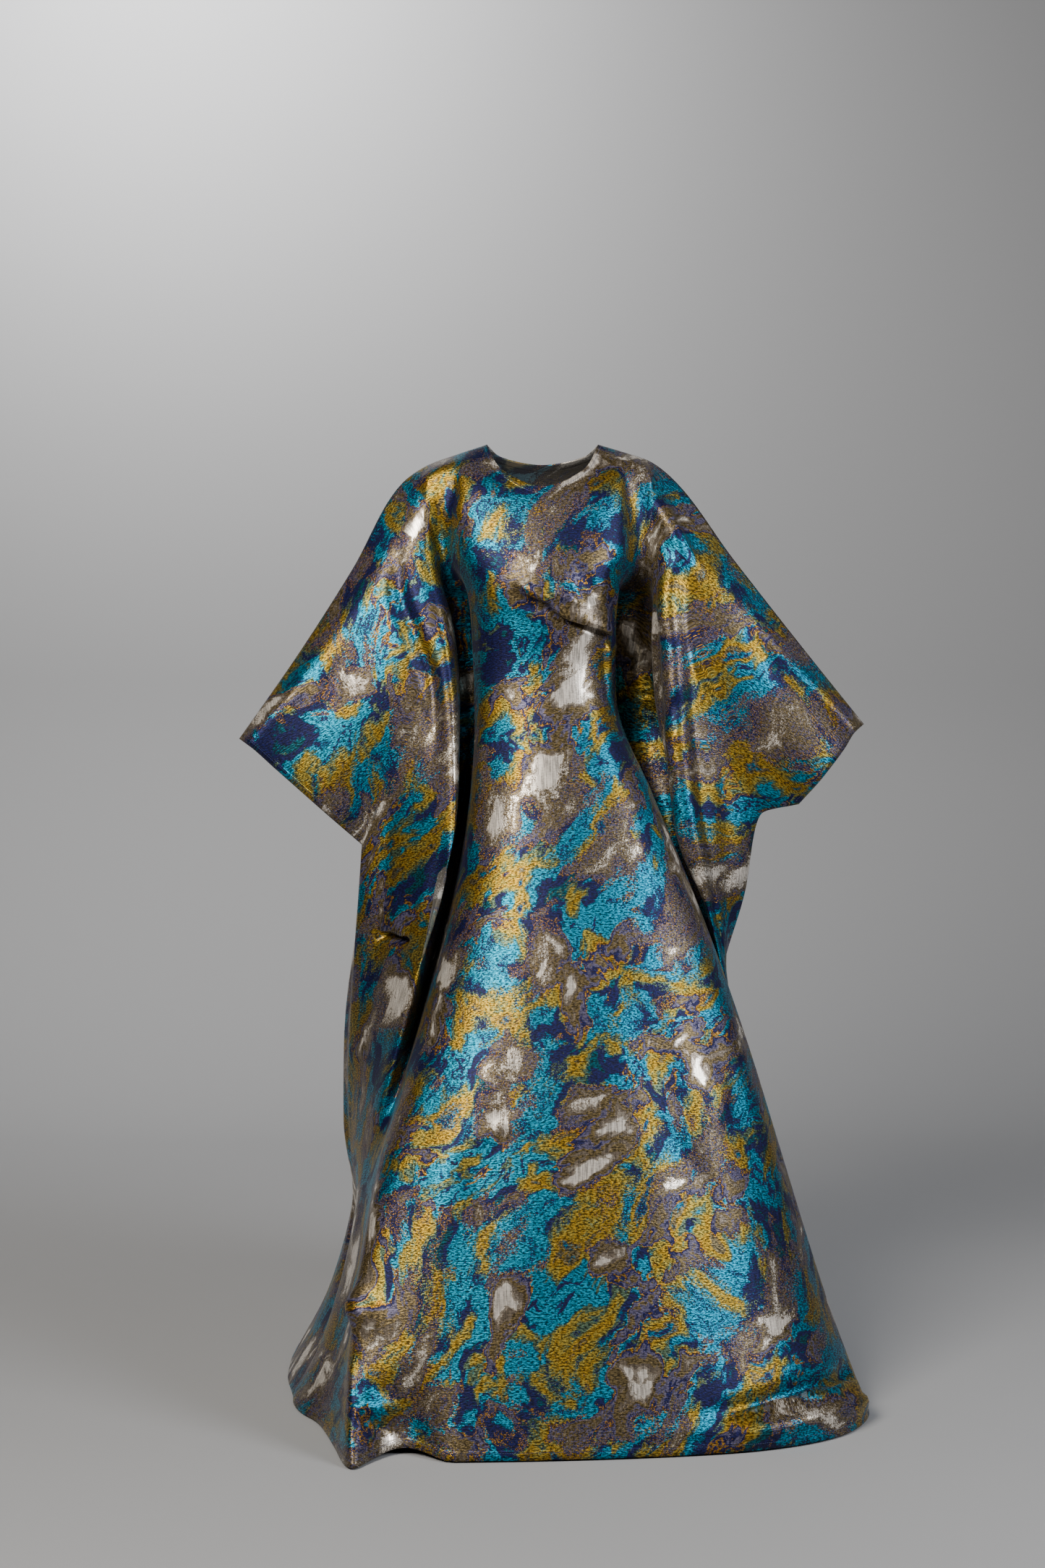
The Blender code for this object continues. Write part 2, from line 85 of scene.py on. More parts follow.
# %% [markdown]
# ## How the cloth hangs
#
# The cloth could be simulated, but a simulation wouldn't fall into the folds that this kaftan has. It is
# described instead by where ten lines of the cloth hang, from the shoulder down to the hem. Across each
# half of a panel they are the centre, breast, flank and side of the body, the recess beside it, the roll
# at the front edge of the hanging wing, two lines on the wing, the line where the cloth turns in, and the
# edge with the cuff and the side seam. Short tables give each line's place at a few levels. A height is
# above the floor, and a reach is towards the front, so it is negative behind the shoulders. All of them
# are in millimetres. Left and right are the picture's all through this script.

# %% Lines and levels of the cloth
LINES = ("centre", "breast", "flank", "side", "recess", "roll", "wing_in", "wing_out", "turn", "edge")
LEVELS = ("neck", "over", "chest", "bust", "cuff_end", "waist", "hip", "thigh", "low_thigh", "knee",
          "shin", "hem")
FINE_COLUMNS = 4            # the solids have a quarter as many columns of faces
FINE_ROWS = 7               # and a seventh as many rows
COLUMN_STEPS = tuple(FINE_COLUMNS * n for n in (2, 3, 3, 3, 4, 3, 3, 2, 1))
ROW_STEPS = tuple(FINE_ROWS * n for n in (2, 2, 3, 5, 3, 4, 4, 3, 3, 3, 3))


def table(columns, rows, millimetres=None):
    """One array for each named column. Columns of millimetres, which all are unless some are named, come out
    in metres."""
    sizes = (millimetres or columns).split()
    return {name: np.array([row[i] for row in rows]) / (1000 if name in sizes else 1)
            for i, name in enumerate(columns.split())}


print("cells in a panel:", 2 * sum(COLUMN_STEPS), "by", sum(ROW_STEPS))

# %% Centre line and shoulder seams
CENTRE = table("lean front front_up back back_up", (
    (0, 82, 1402, -56, 1452),  # neck
    (0, 98, 1374, -82, 1430),  # over
    (1, 120, 1315, -114, 1350),  # chest
    (0, 134, 1250, -124, 1272),  # bust
    (-1, 121, 1186, -121, 1195),  # cuff_end
    (-3, 111, 1115, -117, 1120),  # waist
    (-4, 149, 950, -136, 950),  # hip
    (-7, 225, 710, -200, 710),  # thigh
    (-9, 282, 540, -256, 540),  # low_thigh
    (-11, 330, 390, -312, 385),  # knee
    (-13, 398, 150, -425, 150),  # shin
    (-14, 440, 3, -492, 3),  # hem
))
RIDGE_COLUMNS = "out reach up"
RIDGE_RIGHT = table(RIDGE_COLUMNS, (
    (88, 0, 1477),  # neck point
    (203, 2, 1426),  # shoulder, where the roll starts
    (352, 18, 1228),  # middle of the sleeve
    (505, 36, 1034),  # top corner of the cuff
))
RIDGE_LEFT = table(RIDGE_COLUMNS, (
    (88, 0, 1477),
    (222, 2, 1416),
    (340, 18, 1210),
    (477, 36, 1011),
))
print("shoulder seams reach", RIDGE_LEFT["out"][-1], "m to the left and", RIDGE_RIGHT["out"][-1],
      "m to the right")

# %% Sides of the front, from the chest down
# The side fold bounds the body, the recess is the valley beside it, and the roll is the front edge of the
# hanging wing. The edge is the cuff down to the cuff's end, and the side seam from there. Each table below
# runs down through the same ten levels.
SIDE_COLUMNS = "side_out side recess_out recess roll_out roll roll_up edge_out edge edge_up"
FRONT_RIGHT = table(SIDE_COLUMNS, (
    (138, 62, 162, 34, 197, 56, 1300, 474, 54, 998),  # chest
    (116, 60, 150, 0, 194, 65, 1228, 440, 58, 953),  # bust
    (107, 48, 146, -18, 202, 71, 1148, 404, 30, 908),  # cuff_end
    (104, 36, 146, -24, 206, 79, 1062, 347, 18, 893),  # waist
    (172, 52, 188, -16, 221, 83, 890, 322, 8, 770),  # hip
    (265, 98, 246, 12, 277, 60, 670, 286, -34, 600),  # thigh
    (324, 104, 280, 20, 306, 22, 505, 296, -42, 455),  # low_thigh
    (369, 110, 332, 34, 347, 2, 360, 326, -46, 310),  # knee
    (440, 128, 424, 78, 424, 30, 138, 405, -32, 120),  # shin
    (490, 212, 482, 140, 474, 66, 3, 452, -20, 3),  # hem
))
FRONT_LEFT = table(SIDE_COLUMNS, (
    (142, 58, 158, 34, 180, 58, 1296, 420, 54, 965),
    (114, 52, 134, 4, 160, 73, 1218, 362, 58, 914),
    (108, 42, 124, -15, 146, 86, 1140, 285, 30, 844),
    (106, 35, 122, -20, 136, 97, 1052, 291, 18, 770),
    (113, 62, 124, 0, 133, 120, 890, 301, 8, 640),
    (156, 108, 170, 50, 188, 160, 655, 310, -5, 470),
    (200, 186, 208, 116, 231, 160, 500, 306, -15, 350),
    (243, 266, 252, 200, 266, 130, 350, 292, -15, 240),
    (278, 382, 282, 300, 300, 200, 135, 336, 50, 88),
    (268, 476, 298, 385, 336, 262, 3, 385, 130, 3),
))
print("the front is given at", len(FRONT_LEFT["roll"]), "levels from the chest down")

# %% Sides of the back, from the chest down
# The back falls from the shoulder blades. It shares its edge with the front.
BACK_COLUMNS = "side_out side recess_out recess roll_out roll"
BACK_RIGHT = table(BACK_COLUMNS, (
    (135, -78, 165, -56, 203, -58),
    (126, -98, 156, -66, 206, -82),
    (120, -104, 156, -66, 214, -92),
    (118, -102, 158, -66, 222, -98),
    (148, -122, 192, -78, 240, -102),
    (212, -178, 244, -125, 272, -106),
    (248, -222, 276, -165, 298, -120),
    (286, -270, 312, -205, 338, -142),
    (345, -352, 372, -292, 412, -190),
    (352, -425, 398, -350, 436, -215),
))
BACK_LEFT = table(BACK_COLUMNS, (
    (138, -78, 168, -56, 208, -58),
    (128, -98, 154, -66, 202, -82),
    (120, -104, 150, -64, 206, -94),
    (118, -102, 150, -64, 214, -102),
    (145, -122, 176, -76, 240, -114),
    (200, -180, 234, -124, 292, -118),
    (226, -225, 258, -165, 308, -112),
    (240, -275, 262, -205, 288, -120),
    (286, -385, 312, -300, 330, -175),
    (312, -452, 364, -365, 398, -190),
))
print("the back's hem reaches", -CENTRE["back"][-1], "m behind the shoulders")

# %% [markdown]
# ## From lines to a sheet
#
# A surface through a net of curves is called a loft. Each line is run down through its levels with a
# curve that never overshoots its points, so that a fold can't bulge where the tables don't say so. The
# rows are then run across through the lines in the same way.

# %% Curves that never overshoot
def smooth(knots, values, at):
    """Monotone cubic through the values of each column."""
    step = np.diff(knots)
    slope = np.diff(values, axis=0) / step[:, None]
    tangent = np.zeros_like(values)
    tangent[0] = slope[0]
    tangent[-1] = slope[-1]
    for i in range(1, len(knots) - 1):
        before, after = slope[i - 1], slope[i]
        same = before * after > 0
        w0 = 2 * step[i] + step[i - 1]
        w1 = step[i] + 2 * step[i - 1]
        mean = (w0 + w1) / (w0 / np.where(same, before, 1) + w1 / np.where(same, after, 1))
        tangent[i] = np.where(same, mean, 0)
    spot = np.clip(np.searchsorted(knots, at, side="right") - 1, 0, len(step) - 1)
    h = step[spot][:, None]
    t = ((at - knots[spot]) / step[spot])[:, None]
    return ((1 + 2 * t) * (1 - t) ** 2 * values[spot] + t * (1 - t) ** 2 * h * tangent[spot]
            + t * t * (3 - 2 * t) * values[spot + 1] + t * t * (t - 1) * h * tangent[spot + 1])


def run_lengths(points, axis=0):
    """Length along each row or column of points, from its first one."""
    steps = np.linalg.norm(np.diff(points, axis=axis), axis=-1)
    return np.insert(np.cumsum(steps, axis=axis), 0, 0, axis=axis)


def mix(a, b, share):
    return a + (b - a) * share


def spread(points, steps):
    """Smooth row of points through the given ones, with the given number of steps between each two."""
    knots = run_lengths(points)
    at = [knots[0]]
    for i, count in enumerate(steps):
        at += [mix(knots[i], knots[i + 1], (k + 1) / count) for k in range(count)]
    return smooth(knots, points, np.array(at))


def spread_runs(points, steps, breaks):
    """The same, with corners at the breaks, where one run of cloth ends and the next one starts."""
    runs = [spread(points[a:b + 1], steps[a:b]) for a, b in zip(breaks, breaks[1:])]
    return np.concatenate([runs[0]] + [run[1:] for run in runs[1:]])


after_rise = smooth(np.arange(3.0), np.array([[0.0], [1.0], [1.0]]), np.array([1.5]))
print("past its rise to 1, a curve through 0, 1, 1 stays at", after_rise[0, 0])

# %% [markdown]
# ## Over the shoulders and arms
#
# The first two levels aren't in the tables, because they follow from the shoulder seams. The first one is
# the neckline and the seam itself. The second is where the cloth has turned over the shoulder and the arm
# and starts to fall.

# %% Neckline, seam and the turn over the arm
ARM_ROUND = 0.042           # radius of the cloth where it lies over the arm
SHOULDER_ROUND = 0.048      # the same over the shoulder, beside the neck
TURN_IN = 0.007             # how far from its edge the cloth starts to turn in to the seam or cuff
TURN_DEPTH = 0.006          # how far it turns in
NECK_TURN = 50              # degrees round the neckline, from the centre to the breast line
NECK_ROUND = 1.3            # above 1, the neckline is flatter at the centre
SEAM_SHARE = {"side": 0.36, "recess": 0.70}     # along the seam from the neck point to the shoulder
SEAM_CROWN = {"side": 0.006, "recess": 0.010}   # how far the shoulder rises above a straight seam
OVER_DROP = {"side": 0.026, "recess": 0.030}    # from the seam down to the over level
OVER_TURNS = (0.42, 0.78)   # breast and flank over the shoulder, as shares of a quarter turn
LEVEL_BEND = 1.5            # above 1, a level stays flat near the centre and drops further out
ARM_SHARES = (0.95, 1.0, 0.9, 0.55)             # of the arm's radius, from the roll to the cuff
ROLL_TO_ELBOW = 2 / 3       # where the lines on the wing start along the sleeve
ELBOW_TO_CUFF = 1 / 3


def point(out, reach, up):
    return np.array((out, -reach, up - SHOULDER_HEIGHT))


def with_turn(row, facing):
    """Adds the line where the cloth turns in, just inside the edge."""
    inward = row[-2] - row[-1]
    turn = row[-1] + inward * (1, 0, 1) / np.linalg.norm(inward) * TURN_IN + (0, -facing * TURN_DEPTH, 0)
    return row[:-1] + [turn, row[-1]]


def ridge_row(ridge, neck_reach, neck_up):
    """Neckline from the centre to the neck point, then the seam out to the top corner of the cuff."""
    neck, shoulder, elbow, cuff = (point(*(ridge[c][i] for c in RIDGE_COLUMNS.split())) for i in range(4))
    centre = point(0, neck_reach, neck_up)
    turn = radians(NECK_TURN)
    breast = point(neck[0] * sin(turn), neck_reach * cos(turn),
                   mix(neck_up, ridge["up"][0], 1 - cos(turn) ** NECK_ROUND))
    side, recess = (mix(neck, shoulder, SEAM_SHARE[line]) + (0, 0, SEAM_CROWN[line])
                    for line in ("side", "recess"))
    turn_in = mix(cuff, elbow, TURN_IN / np.linalg.norm(elbow - cuff))
    return [centre, breast, neck, side, recess, shoulder, mix(shoulder, elbow, ROLL_TO_ELBOW),
            mix(elbow, cuff, ELBOW_TO_CUFF), turn_in, cuff]


def over_row(top, facing, reach, up):
    """Next row down, where the cloth has turned over the shoulder and the arm."""
    at = {line: top[i] for i, line in enumerate(LINES)}
    sleeve = at["edge"] - at["roll"]
    down = np.array((sleeve[2], 0, -sleeve[0])) / np.hypot(sleeve[0], sleeve[2])
    centre = point(0, reach, up)
    side, recess = (at[line] + (0, -facing * SHOULDER_ROUND, -OVER_DROP[line]) for line in ("side", "recess"))
    row = [centre]
    for turn in OVER_TURNS:
        angle = turn * pi / 2
        row.append(np.array((side[0] * sin(angle), mix(side[1], centre[1], cos(angle)),
                             mix(centre[2], side[2], turn ** LEVEL_BEND))))
    row += [side, recess]
    for line, share in zip(("roll", "wing_in", "wing_out", "edge"), ARM_SHARES):
        row.append(at[line] + (down + (0, -facing, 0)) * ARM_ROUND * share)
    return with_turn(row, facing)


print("the neckline drops", round(RIDGE_LEFT["up"][0] - CENTRE["front_up"][0], 3), "m at the front")

# %% [markdown]
# ## Down the body and the wings
#
# Below the shoulders each level is a rounded body from the centre to its side, then the recess, the roll
# and the wing, which stands out a little between its roll and its edge.

# %% One half of a panel, level by level
BODY_TURNS = (0.36, 0.70)   # breast and flank on the body, as shares of a quarter turn
BODY_ROUND = 0.85           # under 1, the body is squarer than an ellipse
SIDE_DROP = 0.35            # how far a level has dropped at the side, as a share of its drop at the roll
RECESS_DROP = 0.7
CUFF_DEPTH = 0.054          # open cuff, from its front edge to its back edge
WING_CROWN = {1: 0.012, -1: 0.016}              # how far the wing stands out, at the front and the back


def body_row(centre, side, recess, roll, edge, facing, lean):
    """One level from the centre line out: a rounded body, the recess, the roll, and the wing."""
    row = [np.array((lean, centre[1], centre[2]))]
    for turn in BODY_TURNS:
        angle = turn * pi / 2
        row.append(np.array((mix(lean, side[0], sin(angle)),
                             mix(side[1], centre[1], cos(angle) ** BODY_ROUND),
                             mix(centre[2], side[2], turn ** LEVEL_BEND))))
    row += [side, recess, roll]
    run = edge - roll
    stand = np.array((run[1], -run[0], 0)) * facing / np.hypot(run[0], run[1]) * WING_CROWN[facing]
    for share in (1 / 3, 2 / 3):
        row.append(mix(roll, edge, share) + stand * 4 * share * (1 - share))
    return with_turn(row + [edge], facing)


def half_panel(sign, facing, ridge, shape, front_shape):
    """Points [level][line] of one half of a panel. Facing is 1 for the front and -1 for the back."""
    name = "front" if facing > 0 else "back"
    reach, up = CENTRE[name], CENTRE[name + "_up"]
    rows = [ridge_row(ridge, reach[0], up[0])]
    rows.append(over_row(rows[0], facing, reach[1], up[1]))
    first, cuff_end = LEVELS.index("chest"), LEVELS.index("cuff_end")
    for level in range(first, len(LEVELS)):
        i = level - first
        roll_up = front_shape["roll_up"][i]
        edge_reach = front_shape["edge"][i]
        if facing < 0 and level < cuff_end:
            edge_reach -= CUFF_DEPTH
        rows.append(body_row(
            point(0, reach[level], up[level]),
            point(shape["side_out"][i], shape["side"][i], mix(up[level], roll_up, SIDE_DROP)),
            point(shape["recess_out"][i], shape["recess"][i], mix(up[level], roll_up, RECESS_DROP)),
            point(shape["roll_out"][i], shape["roll"][i], roll_up),
            point(front_shape["edge_out"][i], edge_reach, front_shape["edge_up"][i]),
            facing, CENTRE["lean"][level] * sign))
    return np.array(rows) * (sign, 1, 1)


print("half a panel has", half_panel(1, 1, RIDGE_RIGHT, FRONT_RIGHT, FRONT_RIGHT).shape[:2], "points to loft")

# %% [markdown]
# ## The whole panel as a grid
#
# The two halves meet at the centre line. The finished grid is eased a little, across and then down, which
# takes the last hardness out of the curves. The rows at the neckline, and the columns at the turned edges,
# aren't touched, because the two panels have to meet there.

# %% Grid of a panel
ACROSS_PASSES = FINE_COLUMNS ** 2   # as much rounding across as the solids have
DOWN_PASSES = 30


def panel_points(facing):
    """Outer face of a panel as a grid [row][column], from the left edge to the right one."""
    shapes = (FRONT_LEFT, FRONT_RIGHT) if facing > 0 else (BACK_LEFT, BACK_RIGHT)
    left = half_panel(-1, facing, RIDGE_LEFT, shapes[0], FRONT_LEFT)
    right = half_panel(1, facing, RIDGE_RIGHT, shapes[1], FRONT_RIGHT)
    lines = np.concatenate((left[:, :0:-1], right), axis=1)
    edge_breaks = (0, LEVELS.index("cuff_end"), len(LEVELS) - 1)
    plain_breaks = (0, len(LEVELS) - 1)
    last = lines.shape[1] - 1
    down = np.stack([spread_runs(lines[:, i], ROW_STEPS, edge_breaks if i in (0, last) else plain_breaks)
                     for i in range(last + 1)], axis=1)
    steps = COLUMN_STEPS[::-1] + COLUMN_STEPS
    middle = len(COLUMN_STEPS)
    neck = LINES.index("flank")
    neck_breaks = (0, middle - neck, middle + neck, last)
    grid = np.stack([spread_runs(row, steps, neck_breaks if i == 0 else (0, last))
                     for i, row in enumerate(down)])
    edge = sum(COLUMN_STEPS[LINES.index("wing_out"):])
    for _ in range(ACROSS_PASSES):
        grid[1:, edge:-edge] = (grid[1:, edge - 1:-edge - 1] + 2 * grid[1:, edge:-edge]
                                + grid[1:, edge + 1:1 - edge]) / 4
    for _ in range(DOWN_PASSES):
        grid[1:-1, edge:-edge] = (grid[:-2, edge:-edge] + 2 * grid[1:-1, edge:-edge]
                                  + grid[2:, edge:-edge]) / 4
    return grid


def index_numbers(steps):
    """Line or level number at each step of the grid."""
    return np.concatenate([[0.0]] + [i + np.arange(1, count + 1) / count for i, count in enumerate(steps)])


half_lines = index_numbers(COLUMN_STEPS)
GRID_LINES = np.concatenate((-half_lines[:0:-1], half_lines))   # lines are negative on the left
GRID_LEVELS = index_numbers(ROW_STEPS)
smooth_grid = {facing: panel_points(facing) for facing in (1, -1)}
print("front grid", smooth_grid[1].shape, "back grid", smooth_grid[-1].shape)

# %% [markdown]
# ## Folds
#
# A fold in stiff brocade is a soft ridge or trough that starts somewhere, runs along a path and fades out.
# Each one is a row in a table. It gives where the fold starts and ends, in line and level numbers, with
# lines negative on the left of the picture. It also gives, in millimetres, the fold's half width, its
# height and how far its crest hangs down, and then the shares of its length over which it fades in and out.

# %% Functions for folds
FOLD_SAMPLES = 60           # points along the path of a fold
FOLD_LINES = 1.5            # a fold works no further than this from its path, counted in lines


def normals(grid, facing):
    """Outward direction at each point, from the four faces round it."""
    across = np.diff(grid, axis=1)
    along = np.diff(grid, axis=0)
    face = (np.cross(along[:, :-1], across[:-1]) + np.cross(along[:, 1:], across[1:])) * facing
    face /= np.linalg.norm(face, axis=2, keepdims=True)
    out = np.zeros_like(grid)
    for i, j in ((0, 0), (0, 1), (1, 0), (1, 1)):
        out[i:i + face.shape[0], j:j + face.shape[1]] += face
    return out / np.linalg.norm(out, axis=2, keepdims=True)


def at_index(grid, row, column):
    """Point on the grid between its own points."""
    i, j = min(int(row), grid.shape[0] - 2), min(int(column), grid.shape[1] - 2)
    upper = mix(grid[i, j], grid[i, j + 1], column - j)
    lower = mix(grid[i + 1, j], grid[i + 1, j + 1], column - j)
    return mix(upper, lower, row - i)


def ease(x):
    x = np.clip(x, 0, 1)
    return x * x * (3 - 2 * x)


def fading(along, share):
    """Grows from 0 to 1 over the given share of a fold's length. With no share the fold starts at once."""
    return ease(along / share) if share > 0 else 1.0


def folded(grid, facing, folds):
    """Raises or sinks each fold along its path, square to the cloth."""
    out = normals(grid, facing)
    result = grid.copy()
    for k in range(len(folds["half"])):
        fold = {name: values[k] for name, values in folds.items()}
        share = np.linspace(0, 1, FOLD_SAMPLES)
        rows = np.interp(mix(fold["level_0"], fold["level_1"], share), GRID_LEVELS,
                         np.arange(len(GRID_LEVELS)))
        columns = np.interp(mix(fold["line_0"], fold["line_1"], share), GRID_LINES,
                            np.arange(len(GRID_LINES)))
        path = np.array([at_index(grid, i, j) for i, j in zip(rows, columns)])
        gap = np.linalg.norm(grid[:, :, None] - path, axis=3)
        reach = np.minimum(gap.min(axis=2) / fold["half"], 1)
        along = share[gap.argmin(axis=2)]
        beside = np.abs(GRID_LINES - mix(fold["line_0"], fold["line_1"], along)) < FOLD_LINES
        fade = fading(along, fold["fade_in"]) * fading(1 - along, fold["fade_out"])
        size = (np.cos(reach * pi / 2) ** 2 * fade * beside)[..., None]
        result += out * size * fold["height"] + np.array((0, 0, -1)) * size * fold["hang"]
    return result


print("folds follow paths of", FOLD_SAMPLES, "points")

# %% Main folds
FOLD_COLUMNS = "line_0 level_0 line_1 level_1 half height hang fade_in fade_out"
FOLD_SIZES = "half height hang"     # the columns in millimetres
FRONT_FOLDS = table(FOLD_COLUMNS, (
    (3.55, 2.2, 4.2, 5.2, 48, -46, 0, 0.5, 0.25),  # recess between body and right wing
    (4, 4.5, 4.7, 7.2, 50, -56, 0, 0.3, 0.5),  # it runs on down beside the thigh
    (4.96, 1.6, 5.02, 5.4, 30, 20, 0, 0.4, 0.2),  # rolled edge of that wing, beside it
    (5.02, 4.9, 4.98, 7, 30, 20, 0, 0.2, 0.4),
    (-3.95, 2, -4.2, 5.4, 38, -40, 0, 0.5, 0.25),  # recess between body and left wing
    (-4.1, 4.6, -4.9, 7.2, 38, -40, 0, 0.3, 0.6),
    (-0.95, 2.95, 2.5, 3.92, 30, 10, 3, 0.35, 0.2),  # tuck across the waist
    (2.28, 4.15, 2.67, 5.3, 14, 6, 0, 0.2, 0.5),  # pressed ridge under its end
    (-5.55, 0.6, -5.6, 5.6, 22, -14, 0, 0.4, 0.4),  # crease beside the left roll
    (5.1, 0.6, 5.4, 2.4, 24, 11, 0, 0.3, 0.6),  # ridge from the right shoulder
    (-7.2, 5.82, -5.8, 6.44, 24, 6, 4, 0.3, 0.3),  # pinch on the left wing
    (-3.6, 9.72, -1.5, 9.88, 36, 11, 0, 0.25, 0.5),  # buckle at the left knee
    (-2.6, 10.42, -1.35, 10.68, 26, 10, 0, 0.3, 0.4),  # roll above the left hem
    (0.9, 10.7, 1.85, 10.5, 24, -14, 0, 0.5, 0.15),  # valley where the right hem buckles
    (1.7, 10.5, 2.85, 10.6, 24, -14, 0, 0.15, 0.25),  # the same, to the corner
    (0.9, 10.88, 1.85, 10.78, 28, 18, 0, 0.5, 0.15),  # puffed roll below the valley
    (1.7, 10.78, 2.85, 10.84, 28, 18, 0, 0.15, 0.25),
    (-1.52, 11, -1.46, 10.1, 72, -44, -24, 0, 0.9),  # lifted dip in the left hem
), FOLD_SIZES)
BACK_FOLDS = table(FOLD_COLUMNS, (
    (-2.3, 11, -1.6, 5.2, 95, 46, 0, 0, 0.75),  # flutes from the hips to the hem
    (-0.75, 11, -0.55, 4.4, 80, 36, 0, 0, 0.8),
    (0.95, 11, 0.7, 4.8, 90, 44, 0, 0, 0.75),
    (2.45, 11, 1.85, 5.6, 80, 36, 0, 0, 0.8),
    (-2.9, 1.6, -0.9, 4.3, 40, 7, 0, 0.3, 0.6),  # drag lines from the shoulders
    (2.9, 1.6, 0.9, 4.6, 42, 8, 0, 0.3, 0.6),
), FOLD_SIZES)
folded_grid = {1: folded(smooth_grid[1], 1, FRONT_FOLDS), -1: folded(smooth_grid[-1], -1, BACK_FOLDS)}
print("deepest main fold moves the cloth", round(abs(folded_grid[1] - smooth_grid[1]).max() * 1000), "mm")

# %% [markdown]
# ## The cloth as a thin shell
#
# Real cloth has two faces, so each panel is a closed wall: the outer grid, an inner one a cloth's
# thickness inside it, and a rim that joins them. Along the seams both panels turn in square to the seam
# line, so that they meet edge to edge as sewn cloth does. The UV map is the flat cloth in metres.

# %% Thickness, seams and hem
CLOTH = 0.0016              # brocade
SEAM_GAP = 0.0003           # between the two panels along a seam
HEM_LIFT = 0.003            # outer face of the hem above the floor
NECK_COLUMN = sum(COLUMN_STEPS[:LINES.index("flank")])
CUFF_END_ROW = sum(ROW_STEPS[:LEVELS.index("cuff_end")])
MIDDLE_COLUMN = sum(COLUMN_STEPS)
SEAMS = (                   # where each seam lies on the grid, and to which side of it the cloth turns in
    ((0, slice(0, MIDDLE_COLUMN - NECK_COLUMN + 1)), -1),
    ((0, slice(MIDDLE_COLUMN + NECK_COLUMN, None)), -1),
    ((slice(CUFF_END_ROW, None), 0), 1),
    ((slice(CUFF_END_ROW, None), -1), -1),
)


def skins(grid, facing):
    """Outer and inner face of a panel."""
    inward = -normals(grid, facing) * CLOTH
    seam = np.zeros(grid.shape[:2], bool)
    for spot, sign in SEAMS:
        run = np.gradient(grid[spot], axis=0) * (1, 0, 1)
        square = np.stack((-run[:, 2], np.zeros(len(run)), run[:, 0]), axis=1) * sign
        inward[spot] = square / np.linalg.norm(square, axis=1, keepdims=True) * CLOTH
        seam[spot] = True
    outer = grid + np.where(seam[..., None], (0, -facing * SEAM_GAP / 2, 0), 0)
    inner = outer + inward
    outer[..., 2] = np.maximum(outer[..., 2], HEM_LIFT - SHOULDER_HEIGHT)
    inner[..., 2] = np.maximum(inner[..., 2], HEM_LIFT / 2 - SHOULDER_HEIGHT)
    return outer, inner


print("cloth", CLOTH * 1000, "mm thick")

# %% [markdown]
# ## The flat cloth
#
# The pattern is woven into flat cloth, so it has to be drawn on the panel as it was before it was hung.
# Lengths along the rows and columns give a first guess. It is sheared wherever rows and columns cross
# at a slant, and the pattern would smear there. So the panel is laid flat as a net of springs, each as
# long as the same stretch of hanging cloth, and the springs are left to settle.

# %% Unroll a panel
SETTLING_PASSES = 2500
SETTLING_PUSH = 1.4         # each pass moves a little further than the springs ask, and settles sooner
SPRINGS = ((slice(None), slice(1, None), slice(None), slice(None, -1)),         # along a row
           (slice(1, None), slice(None), slice(None, -1), slice(None)),         # down a column
           (slice(1, None), slice(1, None), slice(None, -1), slice(None, -1)),  # the two diagonals
           (slice(1, None), slice(None, -1), slice(None, -1), slice(1, None)))


def unrolled(grid):
    """Where each point lies on the flat cloth, in metres: right of the centre line, and up."""
    net = grid[::FINE_ROWS, ::FINE_COLUMNS]
    across = run_lengths(net, 1)
    across -= across[:, [across.shape[1] // 2]]
    flat = np.stack((across, -run_lengths(net)), axis=2)
    lengths = [np.linalg.norm(net[a, b] - net[c, d], axis=2) for a, b, c, d in SPRINGS]
    held = np.zeros(net.shape[:2] + (1,))
    for a, b, c, d in SPRINGS:
        held[a, b] += 1
        held[c, d] += 1
    for _ in range(SETTLING_PASSES):
        move = np.zeros_like(flat)
        for (a, b, c, d), length in zip(SPRINGS, lengths):
            way = flat[a, b] - flat[c, d]
            now = np.linalg.norm(way, axis=2)
            pull = way * ((length - now) / now / 2)[..., None]
            move[a, b] += pull
            move[c, d] -= pull
        flat += move / held * SETTLING_PUSH
    flat -= flat[0, flat.shape[1] // 2]
    rows = np.arange(grid.shape[0]) / FINE_ROWS
    columns = np.arange(grid.shape[1]) / FINE_COLUMNS
    down_net = np.stack([np.stack([np.interp(rows, np.arange(flat.shape[0]), flat[:, j, k])
                                   for j in range(flat.shape[1])], axis=1) for k in (0, 1)], axis=2)
    return np.stack([np.stack([np.interp(columns, np.arange(flat.shape[1]), row[:, k])
                               for row in down_net]) for k in (0, 1)], axis=2)


flat_cloth = {facing: unrolled(folded_grid[facing]) for facing in (1, -1)}
print("unrolled front:", *np.ptp(flat_cloth[1], axis=(0, 1)).round(3), "m")

# %% [markdown]
# ## Small creases
#
# Stiff cloth also shows small marks: a pressed crease from the bolt, drag lines that fan out from the
# tuck, and soft buckles where the hem meets the floor. They are rows in the same kind of table, only
# narrower and lower, and they are laid over the main folds.

